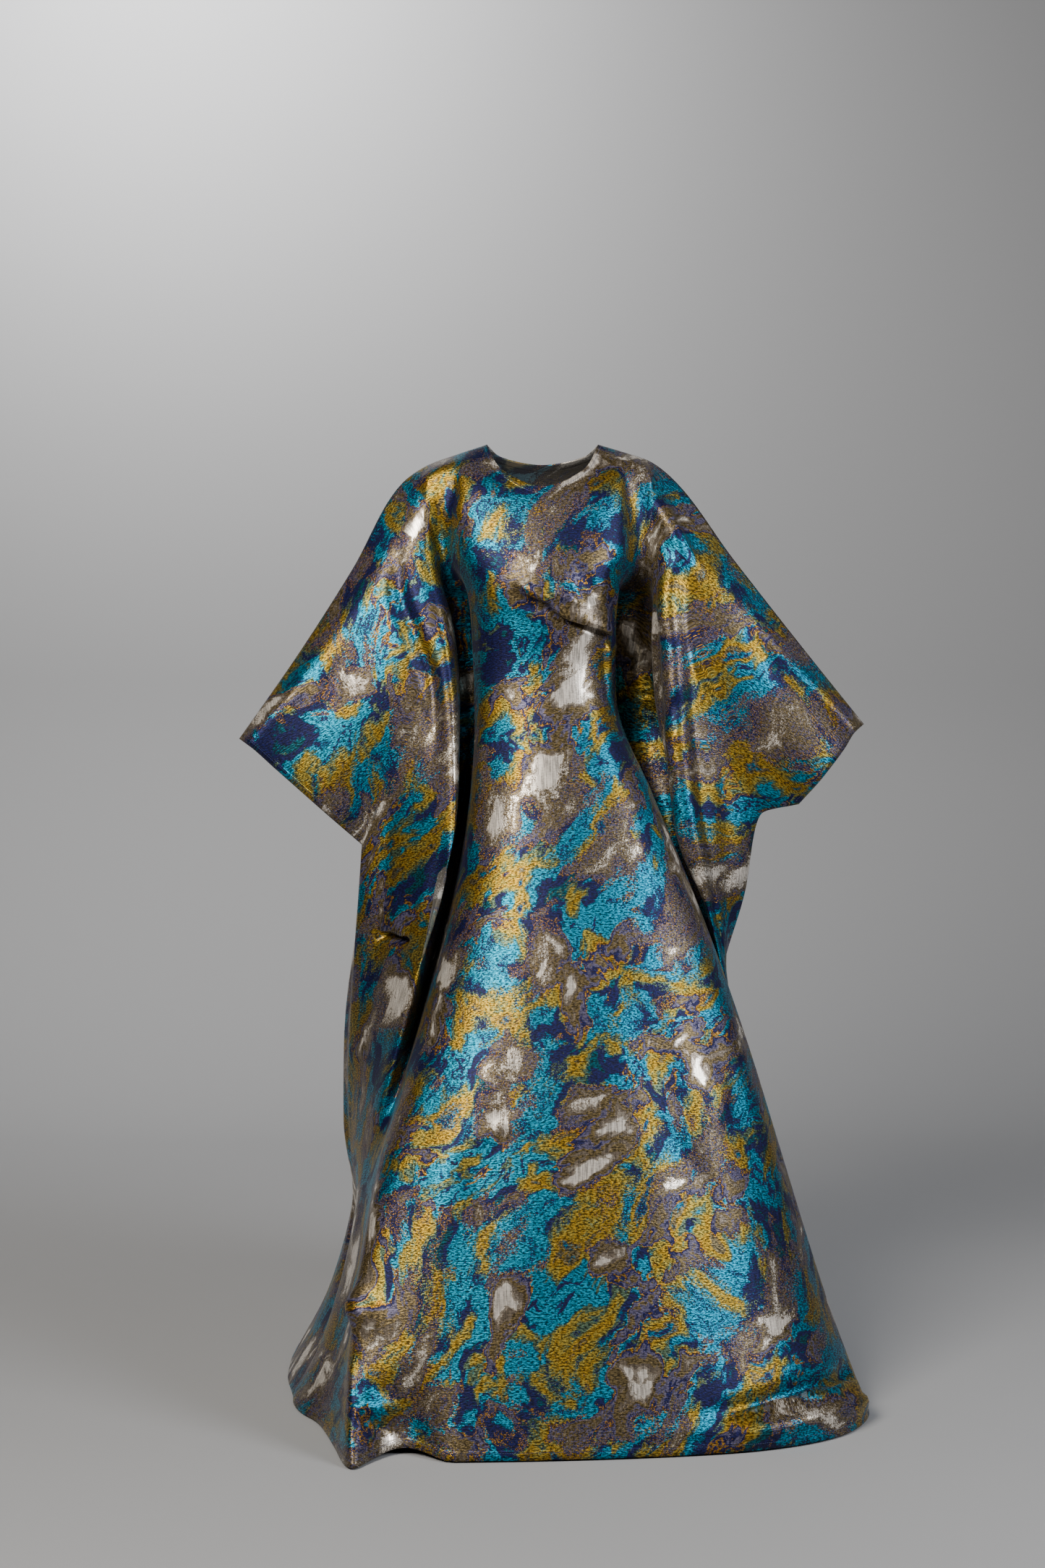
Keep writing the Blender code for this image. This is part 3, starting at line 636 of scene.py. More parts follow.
# %% Small creases of the front and the back
FRONT_CREASES = table(FOLD_COLUMNS, (
    (0.1, 3.54, 2.5, 3.93, 14, 7, 10, 0.25, 0.08),  # lip of the tuck, folded over
    (0.1, 3.72, 2.4, 4.08, 14, -6, -3, 0.3, 0.15),  # shadow under the lip
    (-0.7, 3.4, 0.25, 3.7, 13, -5, 0, 0.5, 0.1),  # the same shadow, before the lip
    (-0.75, 2.92, 0.25, 3.5, 12, 4, 0, 0.3, 0.3),  # creases that run into the tuck
    (-0.9, 3.16, 0.2, 3.62, 11, -4, 0, 0.4, 0.2),
    (0, 2.95, 0.45, 3.56, 11, -4, 0, 0.4, 0.2),
    (0.3, 2.8, 0.9, 3.6, 13, 4, 0, 0.4, 0.3),
    (0.6, 2.4, 1.7, 3.6, 20, -3, 0, 0.5, 0.3),
    (1.9, 2.2, 2.3, 3.75, 18, -3, 0, 0.5, 0.3),
    (0.17, 6.1, 0.17, 7.4, 10, 1.2, 0, 0.4, 0.4),  # crease from the bolt
    (0.2, 4.6, 0.17, 5.8, 10, 1, 0, 0.4, 0.4),
    (2.3, 4.1, 2.75, 6.2, 12, 4, 0, 0.15, 0.6),  # pressed ridge below the tuck's tip
    (-1.78, 1.58, -3.39, 1.5, 24, 3, 0, 0.4, 0.5),  # hollow of the left shoulder
    (-4.29, 1.08, -3.39, 1.5, 26, 2, 0, 0.5, 0.5),
    (-4.08, 2.2, -3.39, 1.5, 28, -5, 0, 0.5, 0.4),
    (-7.17, 5.99, -5.83, 6.61, 17, -22, -4, 0.15, 0.3),  # opening under the pinch
    (-7.17, 5.89, -5.83, 6.51, 14, 5, 14, 0.15, 0.3),  # lip of the pinch
    (-5.85, 6.94, -5, 7.5, 10, 2.5, 0, 0.3, 0.4),  # thin crease below it
    (-3.85, 9.76, -1.7, 9.82, 16, 4, 3, 0.2, 0.5),  # sharp top of the knee's buckle
    (-3.4, 9.96, -2.2, 10.2, 20, -4, 0, 0.4, 0.5),
    (-2.45, 10.56, -1.48, 10.88, 14, -8, 0, 0.25, 0.35),  # crease above the left hem
    (1.05, 10.72, 1.85, 10.62, 13, 6, -10, 0.4, 0.15),  # top of the puffed roll, pushed up
    (1.7, 10.62, 2.8, 10.72, 13, 6, -10, 0.15, 0.2),
    (0.4, 10.86, 1.15, 10.74, 16, 4, 0, 0.5, 0.3),
    (6.2, 1.3, 7.2, 2.4, 26, -4, 0, 0.5, 0.5),  # soft dents in the sleeves
    (-6.3, 1.2, -7.2, 2.6, 26, -4, 0, 0.5, 0.5),
    (-0.6, 7.2, -1.5, 10.4, 60, 6, 0, 0.5, 0.5),  # broad waves in the skirt
    (0.95, 6.8, 1.35, 10.8, 60, -6, 0, 0.5, 0.4),
    (2, 6.2, 2.3, 10.6, 50, 6, 0, 0.5, 0.5),
    (-1.1, 4.4, -1.4, 7, 40, -3, 0, 0.5, 0.5),
    (1.2, 4.6, 1.5, 7.2, 40, 3, 0, 0.5, 0.5),
    (6.3, 3.6, 7.3, 7.6, 30, -3, 0, 0.5, 0.5),  # soft waves down the wings
    (-6.9, 3.3, -7.1, 8, 30, -3, 0, 0.5, 0.5),
    (0.85, 8.4, 1.4, 9.3, 22, -3.5, 0, 0.3, 0.4),  # soft puckers over the skirt
    (1.75, 8.1, 1.45, 8.8, 22, 3, 0, 0.4, 0.4),
    (-1, 8.8, -0.3, 9.5, 22, -3.5, 0, 0.3, 0.4),
    (-0.85, 8.72, -0.1, 8.55, 20, 3, 0, 0.4, 0.4),
    (0.3, 10.1, 0.88, 9.62, 22, 3.5, 0, 0.4, 0.4),
    (0.8, 10.32, 1.12, 9.9, 22, 3, 0, 0.4, 0.4),
    (0.13, 9.4, 0.16, 10.2, 18, -2.5, 0, 0.4, 0.4),
    (-0.55, 6.9, -0.15, 7.9, 24, 2.5, 0, 0.4, 0.4),
    (0.45, 6.6, 0.9, 7.6, 24, -2.5, 0, 0.4, 0.4),
), FOLD_SIZES)
BACK_CREASES = table(FOLD_COLUMNS, (
    (-1.6, 11, -1.2, 7.2, 40, -10, 0, 0, 0.6),  # troughs between the flutes
    (0.12, 11, 0.08, 6.6, 50, -12, 0, 0, 0.6),
    (1.7, 11, 1.4, 7, 45, -11, 0, 0, 0.6),
    (-2.2, 1.9, -0.6, 3.9, 22, -3, 0, 0.4, 0.6),  # drag lines beside the shoulder blades
    (2.1, 1.9, 0.55, 4.1, 22, -3, 0, 0.4, 0.6),
    (-0.1, 4.4, -0.1, 5.8, 10, 1.2, 0, 0.4, 0.4),  # crease from the bolt
    (-0.05, 6.2, -0.08, 7.6, 10, 1, 0, 0.4, 0.4),
    (-1.2, 10.5, 0.2, 10.7, 26, 7, 3, 0.4, 0.5),  # buckles above the floor
    (0.9, 10.64, 2.4, 10.5, 26, 7, 3, 0.4, 0.5),
    (-3.4, 10.6, -2.1, 10.72, 20, 6, 3, 0.4, 0.5),
    (6.2, 1.4, 7.2, 2.6, 26, -4, 0, 0.5, 0.5),  # soft dents in the sleeves
    (-6.3, 1.3, -7.2, 2.5, 26, -4, 0, 0.5, 0.5),
    (6.4, 3.6, 7, 8, 34, 4, 0, 0.5, 0.5),  # soft waves down the wings
    (-6.5, 3.5, -7, 8.2, 34, 4, 0, 0.5, 0.5),
), FOLD_SIZES)
cloth_grid = {1: folded(folded_grid[1], 1, FRONT_CREASES), -1: folded(folded_grid[-1], -1, BACK_CREASES)}
print("small creases:", len(FRONT_CREASES["half"]), "in front,", len(BACK_CREASES["half"]), "behind")

# %% Meshes of the two panels
FAR = 1.0                   # where a row or column doesn't end at a finished edge


def edge_distances(grid):
    """How far each point lies from the nearest finished edge: neckline, cuffs or hem."""
    down, across = run_lengths(grid), run_lengths(grid, 1)
    to_cuff = np.minimum(across, across[:, -1:] - across)
    to_cuff[CUFF_END_ROW + 1:] = FAR
    neck = slice(MIDDLE_COLUMN - NECK_COLUMN, MIDDLE_COLUMN + NECK_COLUMN + 1)
    to_neck = np.full(down.shape, FAR)
    to_neck[:, neck] = down[:, neck]
    return np.minimum.reduce((down[-1] - down, to_cuff, to_neck))


def cloth_mesh(name, facing, face_side, inner_side):
    """One closed wall with the flat cloth as its UV map and the distance to the finished edges."""
    grid = cloth_grid[facing]
    rows, columns = grid.shape[:2]
    outer, inner = skins(grid, facing)
    number = np.arange(rows * columns).reshape(rows, columns)
    quads = np.stack((number[:-1, :-1], number[1:, :-1], number[1:, 1:], number[:-1, 1:]), axis=2)
    quads = quads.reshape(-1, 4)
    border = np.concatenate((number[0, :-1], number[:-1, -1], number[-1, :0:-1], number[:0:-1, 0]))
    after = np.roll(border, -1)
    skin = rows * columns
    rim = np.stack((border, after, after + skin, border + skin), axis=1)
    faces = np.concatenate((quads, quads[:, ::-1] + skin, rim))
    if facing < 0:
        faces = faces[:, ::-1]
    mesh = bpy.data.meshes.new(name)
    mesh.from_pydata(np.concatenate((outer.reshape(-1, 3), inner.reshape(-1, 3))), [], faces.tolist())
    mesh.shade_smooth()
    for material in (face_side, inner_side):
        mesh.materials.append(material)
    inside = np.zeros(len(faces), np.int32)
    inside[len(quads):2 * len(quads)] = 1
    mesh.polygons.foreach_set("material_index", inside)
    flat = flat_cloth[facing].reshape(-1, 2)
    corner = np.zeros(len(mesh.loops), np.int32)
    mesh.loops.foreach_get("vertex_index", corner)
    cloth_map = mesh.uv_layers.new(name="cloth")
    cloth_map.uv.foreach_set("vector", flat[corner % skin].astype(np.float32).ravel())
    distance = mesh.attributes.new("edge_distance", "FLOAT", "POINT")
    distance.data.foreach_set("value", np.tile(edge_distances(grid).ravel(), 2).astype(np.float32))
    mesh.update()
    return in_scene(name, mesh)


# %% [markdown]
# ## Materials
#
# Brocade is woven with floating threads of more than one kind, and each kind answers light in its own way. A
# flat metal thread is bright, crinkled and full of sparks. A satin float is smooth, with one broad highlight.
# Part of these sparks and gleams is painted into the colour further down. A few small helpers keep the node
# trees readable: they turn a colour picker's hex value into Blender's linear light, link or set a node's
# inputs, add a node, and start a material.

# %% Helpers for materials
def linear(hex_colour):
    """sRGB hex value to the linear colour that a shader expects."""
    channels = [int(hex_colour[i:i + 2], 16) / 255 for i in (1, 3, 5)]
    return tuple(c / 12.92 if c <= 0.04045 else ((c + 0.055) / 1.055) ** 2.4 for c in channels) + (1.0,)


def feed(tree, node, inputs):
    """Sets a node's inputs, given by name or in a row in the node's own order. Each is a number, a colour, an
    output of another node, or a node, which stands for its first output."""
    for name, value in inputs.items() if isinstance(inputs, dict) else enumerate(inputs):
        if isinstance(value, bpy.types.Node):
            value = value.outputs[0]
        if isinstance(value, bpy.types.NodeSocket):
            tree.links.new(value, node.inputs[name])
        else:
            node.inputs[name].default_value = value


def add(tree, kind, inputs=(), **settings):
    """Adds a node with its settings, and feeds its inputs."""
    node = tree.nodes.new(kind)
    for name, value in settings.items():
        setattr(node, name, value)
    feed(tree, node, inputs)
    return node


def new_material(name):
    material = bpy.data.materials.new(name)
    material.use_nodes = True
    return material, material.node_tree, material.node_tree.nodes["Principled BSDF"]


print("mid grey is", round(linear("#808080")[0], 3), "in linear light")

# %% [markdown]
# ## Marbled brocade
#
# The cloth is marbled like the endpapers of an old book: veined clouds of turquoise, gold, navy and pale
# satin. Marbling is what happens when slow swirls pull patches of colour about. So the flat cloth's
# coordinates are pushed about by three noises, from hand-wide swirls down to ragged edges, before any
# patch is drawn on them. The patches lie in three layers, each from a noise of its own: a ground of navy
# and turquoise, gold over it, and islands of satin on top. A colour ramp turns each noise into bands, as
# a map colours heights, and a second ramp beside it says how metallic, rough and crinkled each band is.
# The weaver shades one colour into the next by scattering threads, so the limits of every band are
# jittered thread by thread. Printing the pattern from a picture would be quicker, but it couldn't tell
# metal from satin. The motifs here are the noise's own.

# %% Sizes of the marbling, in metres of flat cloth
STRETCH = 1.50              # how much longer than wide the patches are
SLANT = radians(50)         # the slant that they are drawn out along
PULLS = (                   # the swirls: how far across, how far they pull, and how fine they go
    (0.200, 0.060, 0.0),
    (0.060, 0.024, 1.0),
    (0.016, 0.008, 2.0),
)
THREAD = 0.0013             # thread jitter; real threads are 0.3 mm apart, too fine to show here
CLUMP = 0.004               # threads also scatter in clumps
CRINKLE = 0.0022            # crinkles of the metal thread, a little coarser than real so that they show
STREAK = (0.002, 0.030)     # width and length of the painted sheen streaks along the warp in a satin float
print("patches are", STRETCH, "times as long as wide")

# %% Palettes
# Each row: where the band starts on the noise, colour, metal share, roughness, and how crinkled it is.
# Metal thread is a strip of polyester film with a metal skin, tinted. It shines like metal and is never
# smooth. The navy has dark metal thread twisted in with plain yarn, and the satin floats are smooth and
# gleam along the warp.
GROUND_BANDS = (
    (0.00, "#06424c", 0.75, 0.42, 0.90),    # deep teal: painted shade, a darker copy of the turquoise thread as it looks in shade, placed by the noise
    (0.20, "#0b0f3c", 0.55, 0.48, 0.80),    # navy ground
    (0.43, "#0a4c66", 0.80, 0.40, 0.90),    # teal edge
    (0.47, "#087892", 0.85, 0.41, 1.00),    # turquoise metal thread
    (0.66, "#0b0f3c", 0.55, 0.48, 0.80),    # navy vein
    (0.72, "#077089", 0.85, 0.41, 1.00),    # turquoise again
)
GOLD_BANDS = (
    (0.00, "#4a5c48", 0.80, 0.38, 0.95),    # olive, gold threads over turquoise
    (0.16, "#85742e", 0.85, 0.41, 1.00),    # pale gold thread
    (0.36, "#8a6c1a", 0.85, 0.41, 1.00),    # gold thread
    (0.60, "#5c5238", 0.80, 0.38, 0.95),    # bronze
    (0.80, "#0a5a74", 0.80, 0.40, 0.95),    # turquoise heart
    (0.92, "#0b0f3c", 0.55, 0.48, 0.80),    # navy
)
SATIN_BANDS = (
    (0.00, "#8c6418", 0.85, 0.41, 1.00),    # gold edge of an island
    (0.07, "#10113c", 0.55, 0.48, 0.70),    # navy line inside it
    (0.17, "#4a455a", 0.40, 0.38, 0.60),    # mauve grey
    (0.29, "#5a4c30", 0.65, 0.36, 0.85),    # taupe with gold threads
    (0.52, "#62574a", 0.50, 0.30, 0.40),    # bare taupe satin
    (0.66, "#857b6e", 0.50, 0.28, 0.25),    # taupe into champagne
    (0.78, "#cbc2b6", 0.55, 0.27, 0.15),    # champagne satin: partly its real colour, partly painted sheen, made paler to stand for its gleam
)
# Each row: size of its patches, corner of the noise that it uses, the level above which it covers what
# lies under it, the level of its innermost band, and its bands.
LAYERS = (
    (0.060, (0.0, 0.0, 0.0), -1.0, 1.0, GROUND_BANDS),
    (0.056, (5.1, 2.4, 7.3), 0.52, 0.94, GOLD_BANDS),
    (0.082, (6.3, 1.9, 4.2), 0.55, 0.88, SATIN_BANDS),
)
print(len(LAYERS), "layers of patches, with", [len(layer[4]) for layer in LAYERS], "bands")

# %% Bands from a noise
BAND_BLEND = 0.008          # how far one band shades into the next, on the noise's scale


def band_ramps(tree, field, bands):
    """Two colour ramps on one field: the colour, and (metal, roughness, crinkle) as red, green and blue."""
    ramps = []
    for values in ([linear(band[1]) for band in bands], [(*band[2:], 1.0) for band in bands]):
        ramps.append(add(tree, "ShaderNodeValToRGB", (field,)))
        stops = ramps[-1].color_ramp.elements
        stops[1].position = 1.0
        stops[0].color, stops[1].color = values[0], values[-1]
        for band, before, value in zip(bands[1:], values, values[1:]):
            stops.new(band[0] - BAND_BLEND).color = before
            stops.new(band[0] + BAND_BLEND).color = value
    return ramps


print("the longest ramp holds", 2 * max(len(layer[4]) for layer in LAYERS), "stops")

# %% Marbled colour and finish
NOISE_SPAN = (0.27, 0.73)   # nearly all of the noise lies between these
LOOSE_SIZE = 1 / 7          # size of the places where threads scatter less or more
LOOSE_SPAN = (0.40, 0.66)   # the noise's values where they scatter least and most
SCATTER = (0.02, 0.16)      # how far they scatter there, on the noise's scale
SHORE_BLEND = 0.005         # how softly a layer ends, on the same scale


def pulled_about(tree, flat):
    """The flat place, pushed about by each swirl in turn."""
    for size, pull, detail in PULLS:
        swirl = add(tree, "ShaderNodeTexNoise", {"Vector": flat, "Scale": 1 / size, "Detail": detail})
        centred = add(tree, "ShaderNodeVectorMath", (swirl.outputs["Color"], (0.5, 0.5, 0.5)),
                      operation="SUBTRACT")
        flat = add(tree, "ShaderNodeVectorMath", (centred, (2 * pull,) * 3, flat), operation="MULTIPLY_ADD")
    return flat


def cloud_field(tree, place, size, corner):
    """Noise drawn out along the slant, from 0 to 1. The corner picks which part of the noise is used."""
    turned = add(tree, "ShaderNodeMapping", {"Vector": place, "Rotation": (0, 0, SLANT), "Location": corner,
                                             "Scale": (size * STRETCH, size, 1)}, vector_type="TEXTURE")
    noise = add(tree, "ShaderNodeTexNoise", {"Vector": turned, "Scale": 1.0, "Detail": 4.0,
                                             "Roughness": 0.58})
    return add(tree, "ShaderNodeMapRange", (noise, *NOISE_SPAN))


def thread_scatter(tree, flat, place):
    """Jitter of single threads and of clumps, in some places slight and in others wide."""
    cell = add(tree, "ShaderNodeVectorMath", (flat, (THREAD,) * 3), operation="SNAP")
    thread = add(tree, "ShaderNodeTexWhiteNoise", {"Vector": cell}, noise_dimensions="2D")
    clump = add(tree, "ShaderNodeTexNoise", {"Vector": flat, "Scale": 1 / CLUMP, "Detail": 1.0})
    both = add(tree, "ShaderNodeMath", (thread, clump))
    centred = add(tree, "ShaderNodeMath", (both, 1.0), operation="SUBTRACT")
    loose = add(tree, "ShaderNodeTexNoise", {"Vector": place, "Scale": 1 / LOOSE_SIZE, "Detail": 0.0})
    width = add(tree, "ShaderNodeMapRange", (loose, *LOOSE_SPAN, *SCATTER))
    return add(tree, "ShaderNodeMath", (centred, width), operation="MULTIPLY")


def marbling(tree):
    """Flat place on the cloth, and the colour and finish of the marbled weave there."""
    flat = add(tree, "ShaderNodeUVMap", uv_map="cloth")
    place = pulled_about(tree, flat)
    scatter = thread_scatter(tree, flat, place)
    woven = None
    for size, corner, shore, heart, bands in LAYERS:
        field = add(tree, "ShaderNodeMath", (cloud_field(tree, place, size, corner), scatter))
        inland = add(tree, "ShaderNodeMapRange", (field, max(shore, 0.0), heart))
        layer = band_ramps(tree, inland, bands)
        if woven:
            share = add(tree, "ShaderNodeMapRange", (field, shore - SHORE_BLEND, shore + SHORE_BLEND))
            layer = [add(tree, "ShaderNodeMix", {0: share, 6: under, 7: over}, data_type="RGBA").outputs[2]
                     for under, over in zip(woven, layer)]
        woven = layer
    return flat, *woven


print("patches slant by", round(SLANT * 180 / pi), "degrees")

# %% Brocade, face and reverse
HEM_TURNING = 0.012         # edges are turned in once and stitched
TURNING_STEP = 0.0005       # how much the turning thickens the cloth
TURNING_SLOPE = 0.0015      # width over which it does
CRINKLE_DEPTH = 0.0008
CRINKLE_FLAT = 0.45         # under 1, the crinkles are longer across the cloth than along it
CRINKLE_SPAN = (0.41, 0.62) # the noise's values at the darkest painted shade and the brightest painted glint on the metal thread
PAINTED_GLINT_AND_SHADE = (0.20, 1.75)       # how bright this painted shade and painted glint are, as shares of the thread's own colour
STREAK_SPAN = (0.35, 0.65)  # the same for the painted sheen streaks of a satin float
# how bright and how dark the painted sheen streaks are, as shares of the satin's own colour
PAINTED_SHEEN = (0.55, 1.40)


def painted_glints_and_sheen(tree, flat, colour, crinkle, crinkly):
    """The colour with painted light on it: painted glints and painted shade on the crinkles where the thread
    is crinkly metal, and painted sheen in streaks along the warp where it is smooth satin."""
    # painted glints and painted shade: the colour is lit up on the crinkles' crests and darkened in their
    # hollows, from the same noise as the bump
    painted_glint_and_shade = add(tree, "ShaderNodeMapRange", (crinkle, *CRINKLE_SPAN, *PAINTED_GLINT_AND_SHADE))
    drawn_out = add(tree, "ShaderNodeMapping", {"Vector": flat, "Scale": (1 / STREAK[0], 1 / STREAK[1], 1)})
    along_warp = add(tree, "ShaderNodeTexNoise", {"Vector": drawn_out, "Scale": 1.0, "Detail": 1.0})
    # painted sheen: streaks along the warp, lighter and darker than the satin's own colour
    painted_sheen = add(tree, "ShaderNodeMapRange", (along_warp, *STREAK_SPAN, *PAINTED_SHEEN))
    painted_light = add(tree, "ShaderNodeMix", {0: crinkly, 6: painted_sheen, 7: painted_glint_and_shade}, data_type="RGBA")
    return add(tree, "ShaderNodeMix", {0: 1.0, 6: colour, 7: painted_light.outputs[2]}, data_type="RGBA",
               blend_type="MULTIPLY").outputs[2]


def brocade(name, face):
    """Face: crinkled metal thread and smooth satin floats. Reverse: the same yarns seen from behind."""
    material, tree, shader = new_material(name)
    flat, colour, finish = marbling(tree)
    metal, roughness, crinkly = add(tree, "ShaderNodeSeparateColor", (finish,)).outputs
    stretched = add(tree, "ShaderNodeMapping", {"Vector": flat,
                                                "Scale": (CRINKLE_FLAT / CRINKLE, 1 / CRINKLE, 1)})
    crinkle = add(tree, "ShaderNodeTexNoise", {"Vector": stretched, "Scale": 1.0, "Detail": 2.0,
                                               "Roughness": 0.6})
    distance = add(tree, "ShaderNodeAttribute", attribute_name="edge_distance")
    turning = add(tree, "ShaderNodeMapRange", (distance.outputs["Fac"], HEM_TURNING,
                                               HEM_TURNING + TURNING_SLOPE, TURNING_STEP, 0.0))
    relief = add(tree, "ShaderNodeMath", (crinkle, crinkly), operation="MULTIPLY")
    height = add(tree, "ShaderNodeMath", (relief, CRINKLE_DEPTH, turning), operation="MULTIPLY_ADD")
    bump = add(tree, "ShaderNodeBump", {"Height": height, "Distance": 1.0, "Strength": 1.0})
    if face:
        # the base colour carries painted glints, painted shade and painted sheen
        look = {"Base Color": painted_glints_and_sheen(tree, flat, colour, crinkle, crinkly), "Metallic": metal,
                "Roughness": roughness, "Specular IOR Level": 0.35, "Sheen Weight": 0.04}
    else:
        dull = add(tree, "ShaderNodeHueSaturation", {"Color": colour, "Saturation": 0.6, "Value": 0.45})
        look = {"Base Color": dull, "Metallic": 0.2, "Roughness": 0.6, "Sheen Weight": 0.2}
    feed(tree, shader, {**look, "Normal": bump})
    return material


face_side = brocade("metallic_brocade_face", True)
reverse_side = brocade("metallic_brocade_reverse", False)
front_cloth = cloth_mesh("front_cloth", 1, face_side, reverse_side)
back_cloth = cloth_mesh("back_cloth", -1, face_side, reverse_side)
print("faces in a panel:", len(front_cloth.data.polygons))

# %% [markdown]
# ## Stitches
#
# The edges of the real kaftan are turned in once and stitched by machine, and the row of stitches shows
# along the cuffs. A machine stitch is one short thread after another on a path, which is just what
# Geometry Nodes are for: they walk along the path, put one stitch on every step, and turn it to lie along
# the path. The stitch itself is a low loop of thread with a few faces, because it is repeated hundreds
# of times.

# %% Paths of the stitch lines
STITCH_LINE = 0.010         # from the finished edge to the stitches
STITCH_LIFT = 0.0003        # above the cloth


def along_cloth(points, distance):
    """Point at a distance along a run of points, from its first one."""
    at = run_lengths(points)
    return np.array([np.interp(distance, at, points[:, k]) for k in range(3)])


def stitch_paths(facing):
    """Runs of points just above the cloth: round the neckline, down both cuffs and along the hem."""
    outer = skins(cloth_grid[facing], facing)[0] + normals(cloth_grid[facing], facing) * STITCH_LIFT
    neck = range(MIDDLE_COLUMN - NECK_COLUMN, MIDDLE_COLUMN + NECK_COLUMN + 1)
    cuff = range(ROW_STEPS[0], CUFF_END_ROW + 1)
    return (np.array([along_cloth(outer[:, j], STITCH_LINE) for j in neck]),
            np.array([along_cloth(outer[i], STITCH_LINE) for i in cuff]),
            np.array([along_cloth(outer[i, ::-1], STITCH_LINE) for i in cuff]),
            np.array([along_cloth(outer[::-1, j], STITCH_LINE) for j in range(outer.shape[1])]))


def path_object(name, runs):
    """The runs as lines of edges, which Geometry Nodes can turn into curves."""
    places, edges = [], []
    for run in runs:
        edges += [(len(places) + i, len(places) + i + 1) for i in range(len(run) - 1)]
        places += [tuple(p) for p in run]
    mesh = bpy.data.meshes.new(name)
    mesh.from_pydata(places, edges, [])
    return in_scene(name, mesh)


print("stitch lines on the front:", len(stitch_paths(1)))

# %% Thread
thread_material, thread_tree, thread_shader = new_material("polyester_sewing_thread")
# Twisted polyester: a soft gleam that breaks up along the twist, in a navy that sinks into the cloth.
twist = add(thread_tree, "ShaderNodeTexWave", {
    "Vector": add(thread_tree, "ShaderNodeTexCoord").outputs["Object"], "Scale": 900.0, "Distortion": 2.0},
    bands_direction="DIAGONAL")
twist_bump = add(thread_tree, "ShaderNodeBump", {"Height": twist.outputs["Fac"], "Distance": 0.0001})
feed(thread_tree, thread_shader, {"Base Color": linear("#23305f"), "Roughness": 0.45, "Sheen Weight": 0.3,
                                  "Normal": twist_bump})
print("thread:", thread_material.name)

# %% Geometry Nodes for a row of stitches
# In metres. Real thread is about half as thick, too fine to show here.
STITCH_SIZES = {"Spacing": 0.0034, "Length": 0.0027, "Thickness": 0.0006}


def stitch_tree():
    tree = bpy.data.node_groups.new("row_of_stitches", "GeometryNodeTree")
    face = tree.interface
    face.new_socket("Geometry", in_out="INPUT", socket_type="NodeSocketGeometry")
    for name in STITCH_SIZES:
        face.new_socket(name, in_out="INPUT", socket_type="NodeSocketFloat")
    face.new_socket("Thread", in_out="INPUT", socket_type="NodeSocketMaterial")
    face.new_socket("Geometry", in_out="OUTPUT", socket_type="NodeSocketGeometry")
    given = add(tree, "NodeGroupInput").outputs
    curves = add(tree, "GeometryNodeMeshToCurve", {"Mesh": given["Geometry"]})
    steps = add(tree, "GeometryNodeResampleCurve", {"Curve": curves, "Length": given["Spacing"]},
                mode="LENGTH")
    points = add(tree, "GeometryNodeCurveToPoints", {"Curve": steps}, mode="EVALUATED")
    loop = add(tree, "GeometryNodeMeshUVSphere", {"Segments": 5, "Rings": 4, "Radius": 0.5})
    size = add(tree, "ShaderNodeCombineXYZ", (given["Thickness"], given["Thickness"], given["Length"]))
    placed = add(tree, "GeometryNodeInstanceOnPoints", {
        "Points": points, "Instance": loop, "Rotation": points.outputs["Rotation"], "Scale": size})
    solid = add(tree, "GeometryNodeRealizeInstances", {"Geometry": placed})
    finished = add(tree, "GeometryNodeSetMaterial", {"Geometry": solid, "Material": given["Thread"]})
    add(tree, "NodeGroupOutput", {"Geometry": finished})
    return tree


def stitched(name, facing, tree):
    """Runs the tree on a panel's stitch lines and keeps the result as a plain mesh."""
    paths = path_object(name + "_paths", stitch_paths(facing))
    rows = paths.modifiers.new("stitches", "NODES")
    rows.node_group = tree
    socket = {s.name: s.identifier for s in tree.interface.items_tree if s.in_out == "INPUT"}
    for size, value in STITCH_SIZES.items():
        rows[socket[size]] = value
    rows[socket["Thread"]] = thread_material
    bpy.context.view_layer.update()
    evaluated = paths.evaluated_get(bpy.context.evaluated_depsgraph_get())
    mesh = bpy.data.meshes.new_from_object(evaluated)
    mesh.name = name
    bpy.data.objects.remove(paths)
    return in_scene(name, mesh)


tree = stitch_tree()
front_stitches = stitched("front_stitches", 1, tree)
back_stitches = stitched("back_stitches", -1, tree)
print("stitch faces:", len(front_stitches.data.polygons), "in front,", len(back_stitches.data.polygons),
      "behind")

# %% [markdown]
# ## A plain studio
#
# The kaftan stands on a pale seamless sheet that curves up behind it, so that there is no line where floor
# meets wall. Metal thread shows what it reflects. Large soft lights give it broad gleams, and the dark
# room round them gives it depth, so the sheet is lit on its own and kept well back.

# %% Seamless floor and backdrop
SHEET_HALF_WIDTH = 4.0
SHEET_FRONT = -4.5
SHEET_BACK = 3.2
SHEET_CURVE = 1.2           # radius where the floor turns up
CURVE_STEPS = 24
SHEET_HEIGHT = 4.0


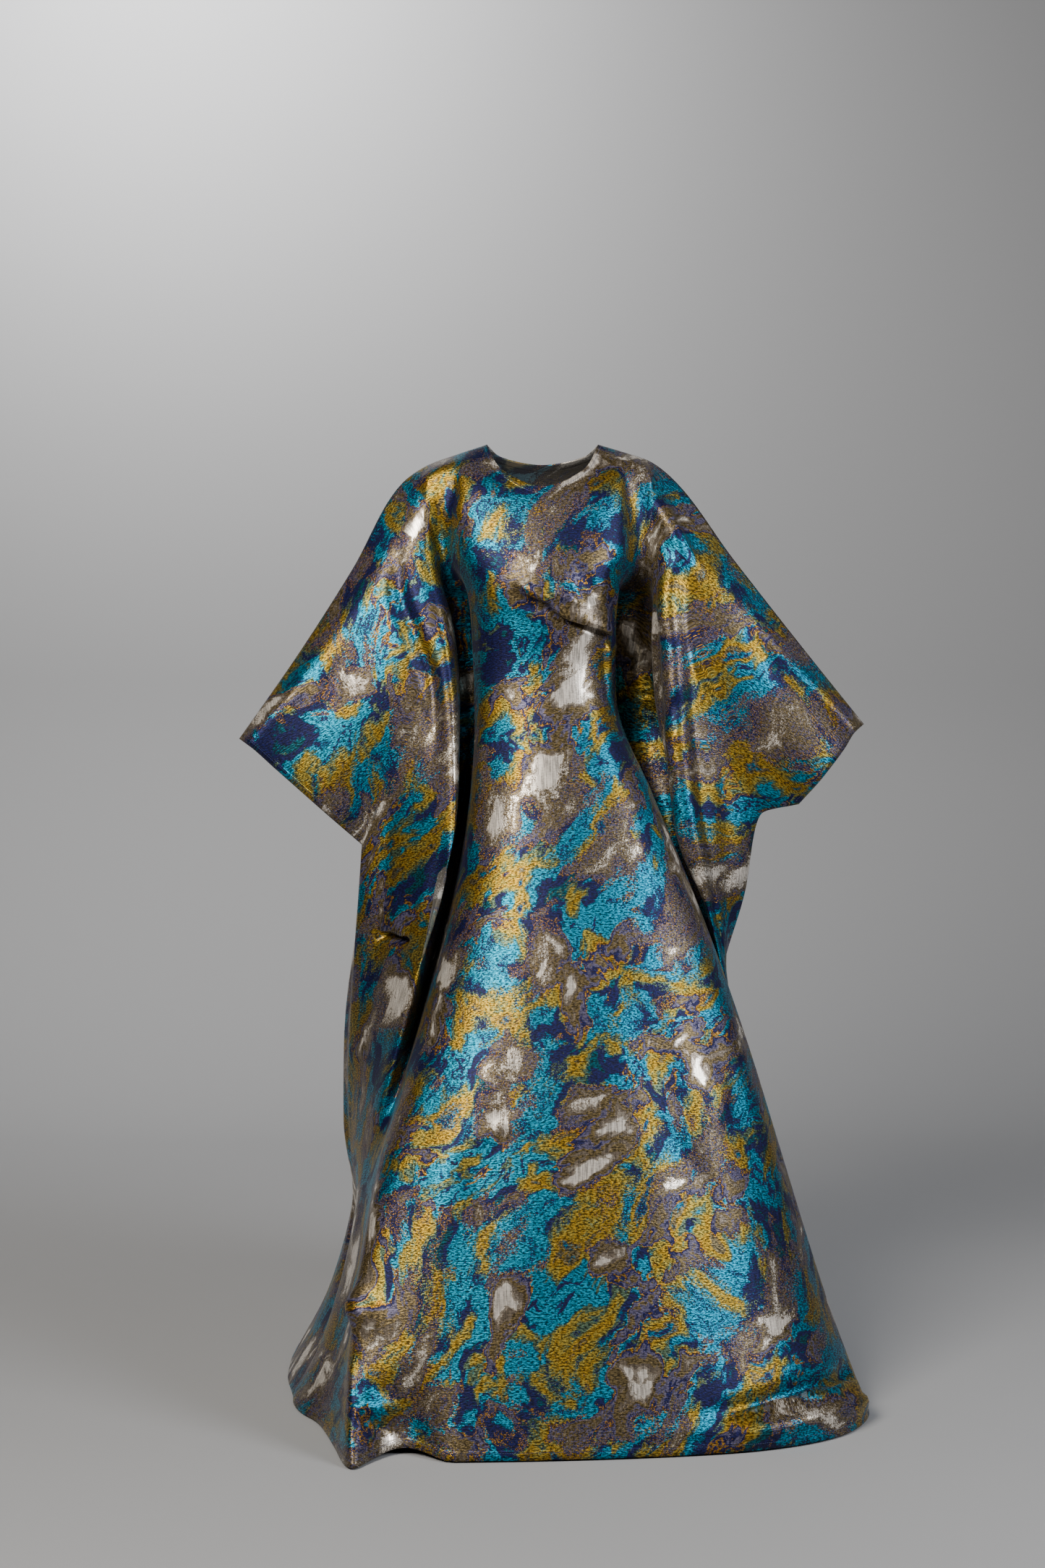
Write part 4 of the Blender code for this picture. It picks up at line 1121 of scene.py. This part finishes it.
def seamless(name):
    profile = [(SHEET_FRONT, 0.0), (SHEET_BACK - SHEET_CURVE, 0.0)]
    for turn in np.linspace(0, pi / 2, CURVE_STEPS + 1)[1:]:
        profile.append((SHEET_BACK - SHEET_CURVE + SHEET_CURVE * sin(turn), SHEET_CURVE * (1 - cos(turn))))
    profile.append((SHEET_BACK, SHEET_HEIGHT))
    places = [(x, y, z - SHOULDER_HEIGHT) for y, z in profile for x in (-SHEET_HALF_WIDTH, SHEET_HALF_WIDTH)]
    faces = [(i, i + 1, i + 3, i + 2) for i in range(0, len(places) - 2, 2)]
    mesh = bpy.data.meshes.new(name)
    mesh.from_pydata(places, [], faces)
    mesh.shade_smooth()
    return in_scene(name, mesh)


paper, paper_tree, paper_shader = new_material("matt_grey_paper")
feed(paper_tree, paper_shader, {"Base Color": linear("#949495"), "Roughness": 0.85})
backdrop = seamless("backdrop")
backdrop.data.materials.append(paper)
print("the sheet turns up", SHEET_BACK - SHEET_CURVE, "m behind the kaftan")

# %% Lights
LIGHTS = (
    # name, place (out, reach, up), size (m), watts, colour, and the place it points at
    ("key", (-1.3, 2.4, 2.6), 1.4, 158, "#fffaf2", (0.0, 0.0, 1.2)),
    ("fill", (2.3, 1.8, 1.9), 1.2, 88, "#f4f8ff", (0.0, 0.0, 1.2)),
    ("wall", (-1.2, -2.0, 3.7), 1.3, 125, "#ffffff", (-1.1, -3.3, 2.9)),
)
for name, place, size, watts, colour, aim in LIGHTS:
    light = bpy.data.lights.new(name, "AREA")
    light.size = size
    light.energy = watts
    light.color = linear(colour)[:3]
    lamp = in_scene(name, light)
    lamp.location = tuple(point(*place))
    lamp.rotation_euler = (lamp.location - Vector(point(*aim))).to_track_quat("Z", "Y").to_euler()

world = bpy.context.scene.world or bpy.data.worlds.new("studio")
bpy.context.scene.world = world
world.use_nodes = True
feed(world.node_tree, world.node_tree.nodes["Background"], {"Color": linear("#aeb4bc"), "Strength": 0.04})
print(len(LIGHTS), "soft lights")

# %% [markdown]
# ## What each piece stands for
#
# The frame knows the kaftan as two plain solids. Each cloth stands for the solid it was laid on, and its
# stitches go with it. Nothing on a kaftan turns or slides, so all of it rides on one body.

# %% Hide each solid and put its cloth and stitches on one body
for name, facing, cloth, stitches in (("front", 1, front_cloth, front_stitches),
                                      ("back", -1, back_cloth, back_stitches)):
    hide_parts(name + "_panel")
    for piece in (cloth, stitches):
        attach(piece, "root")
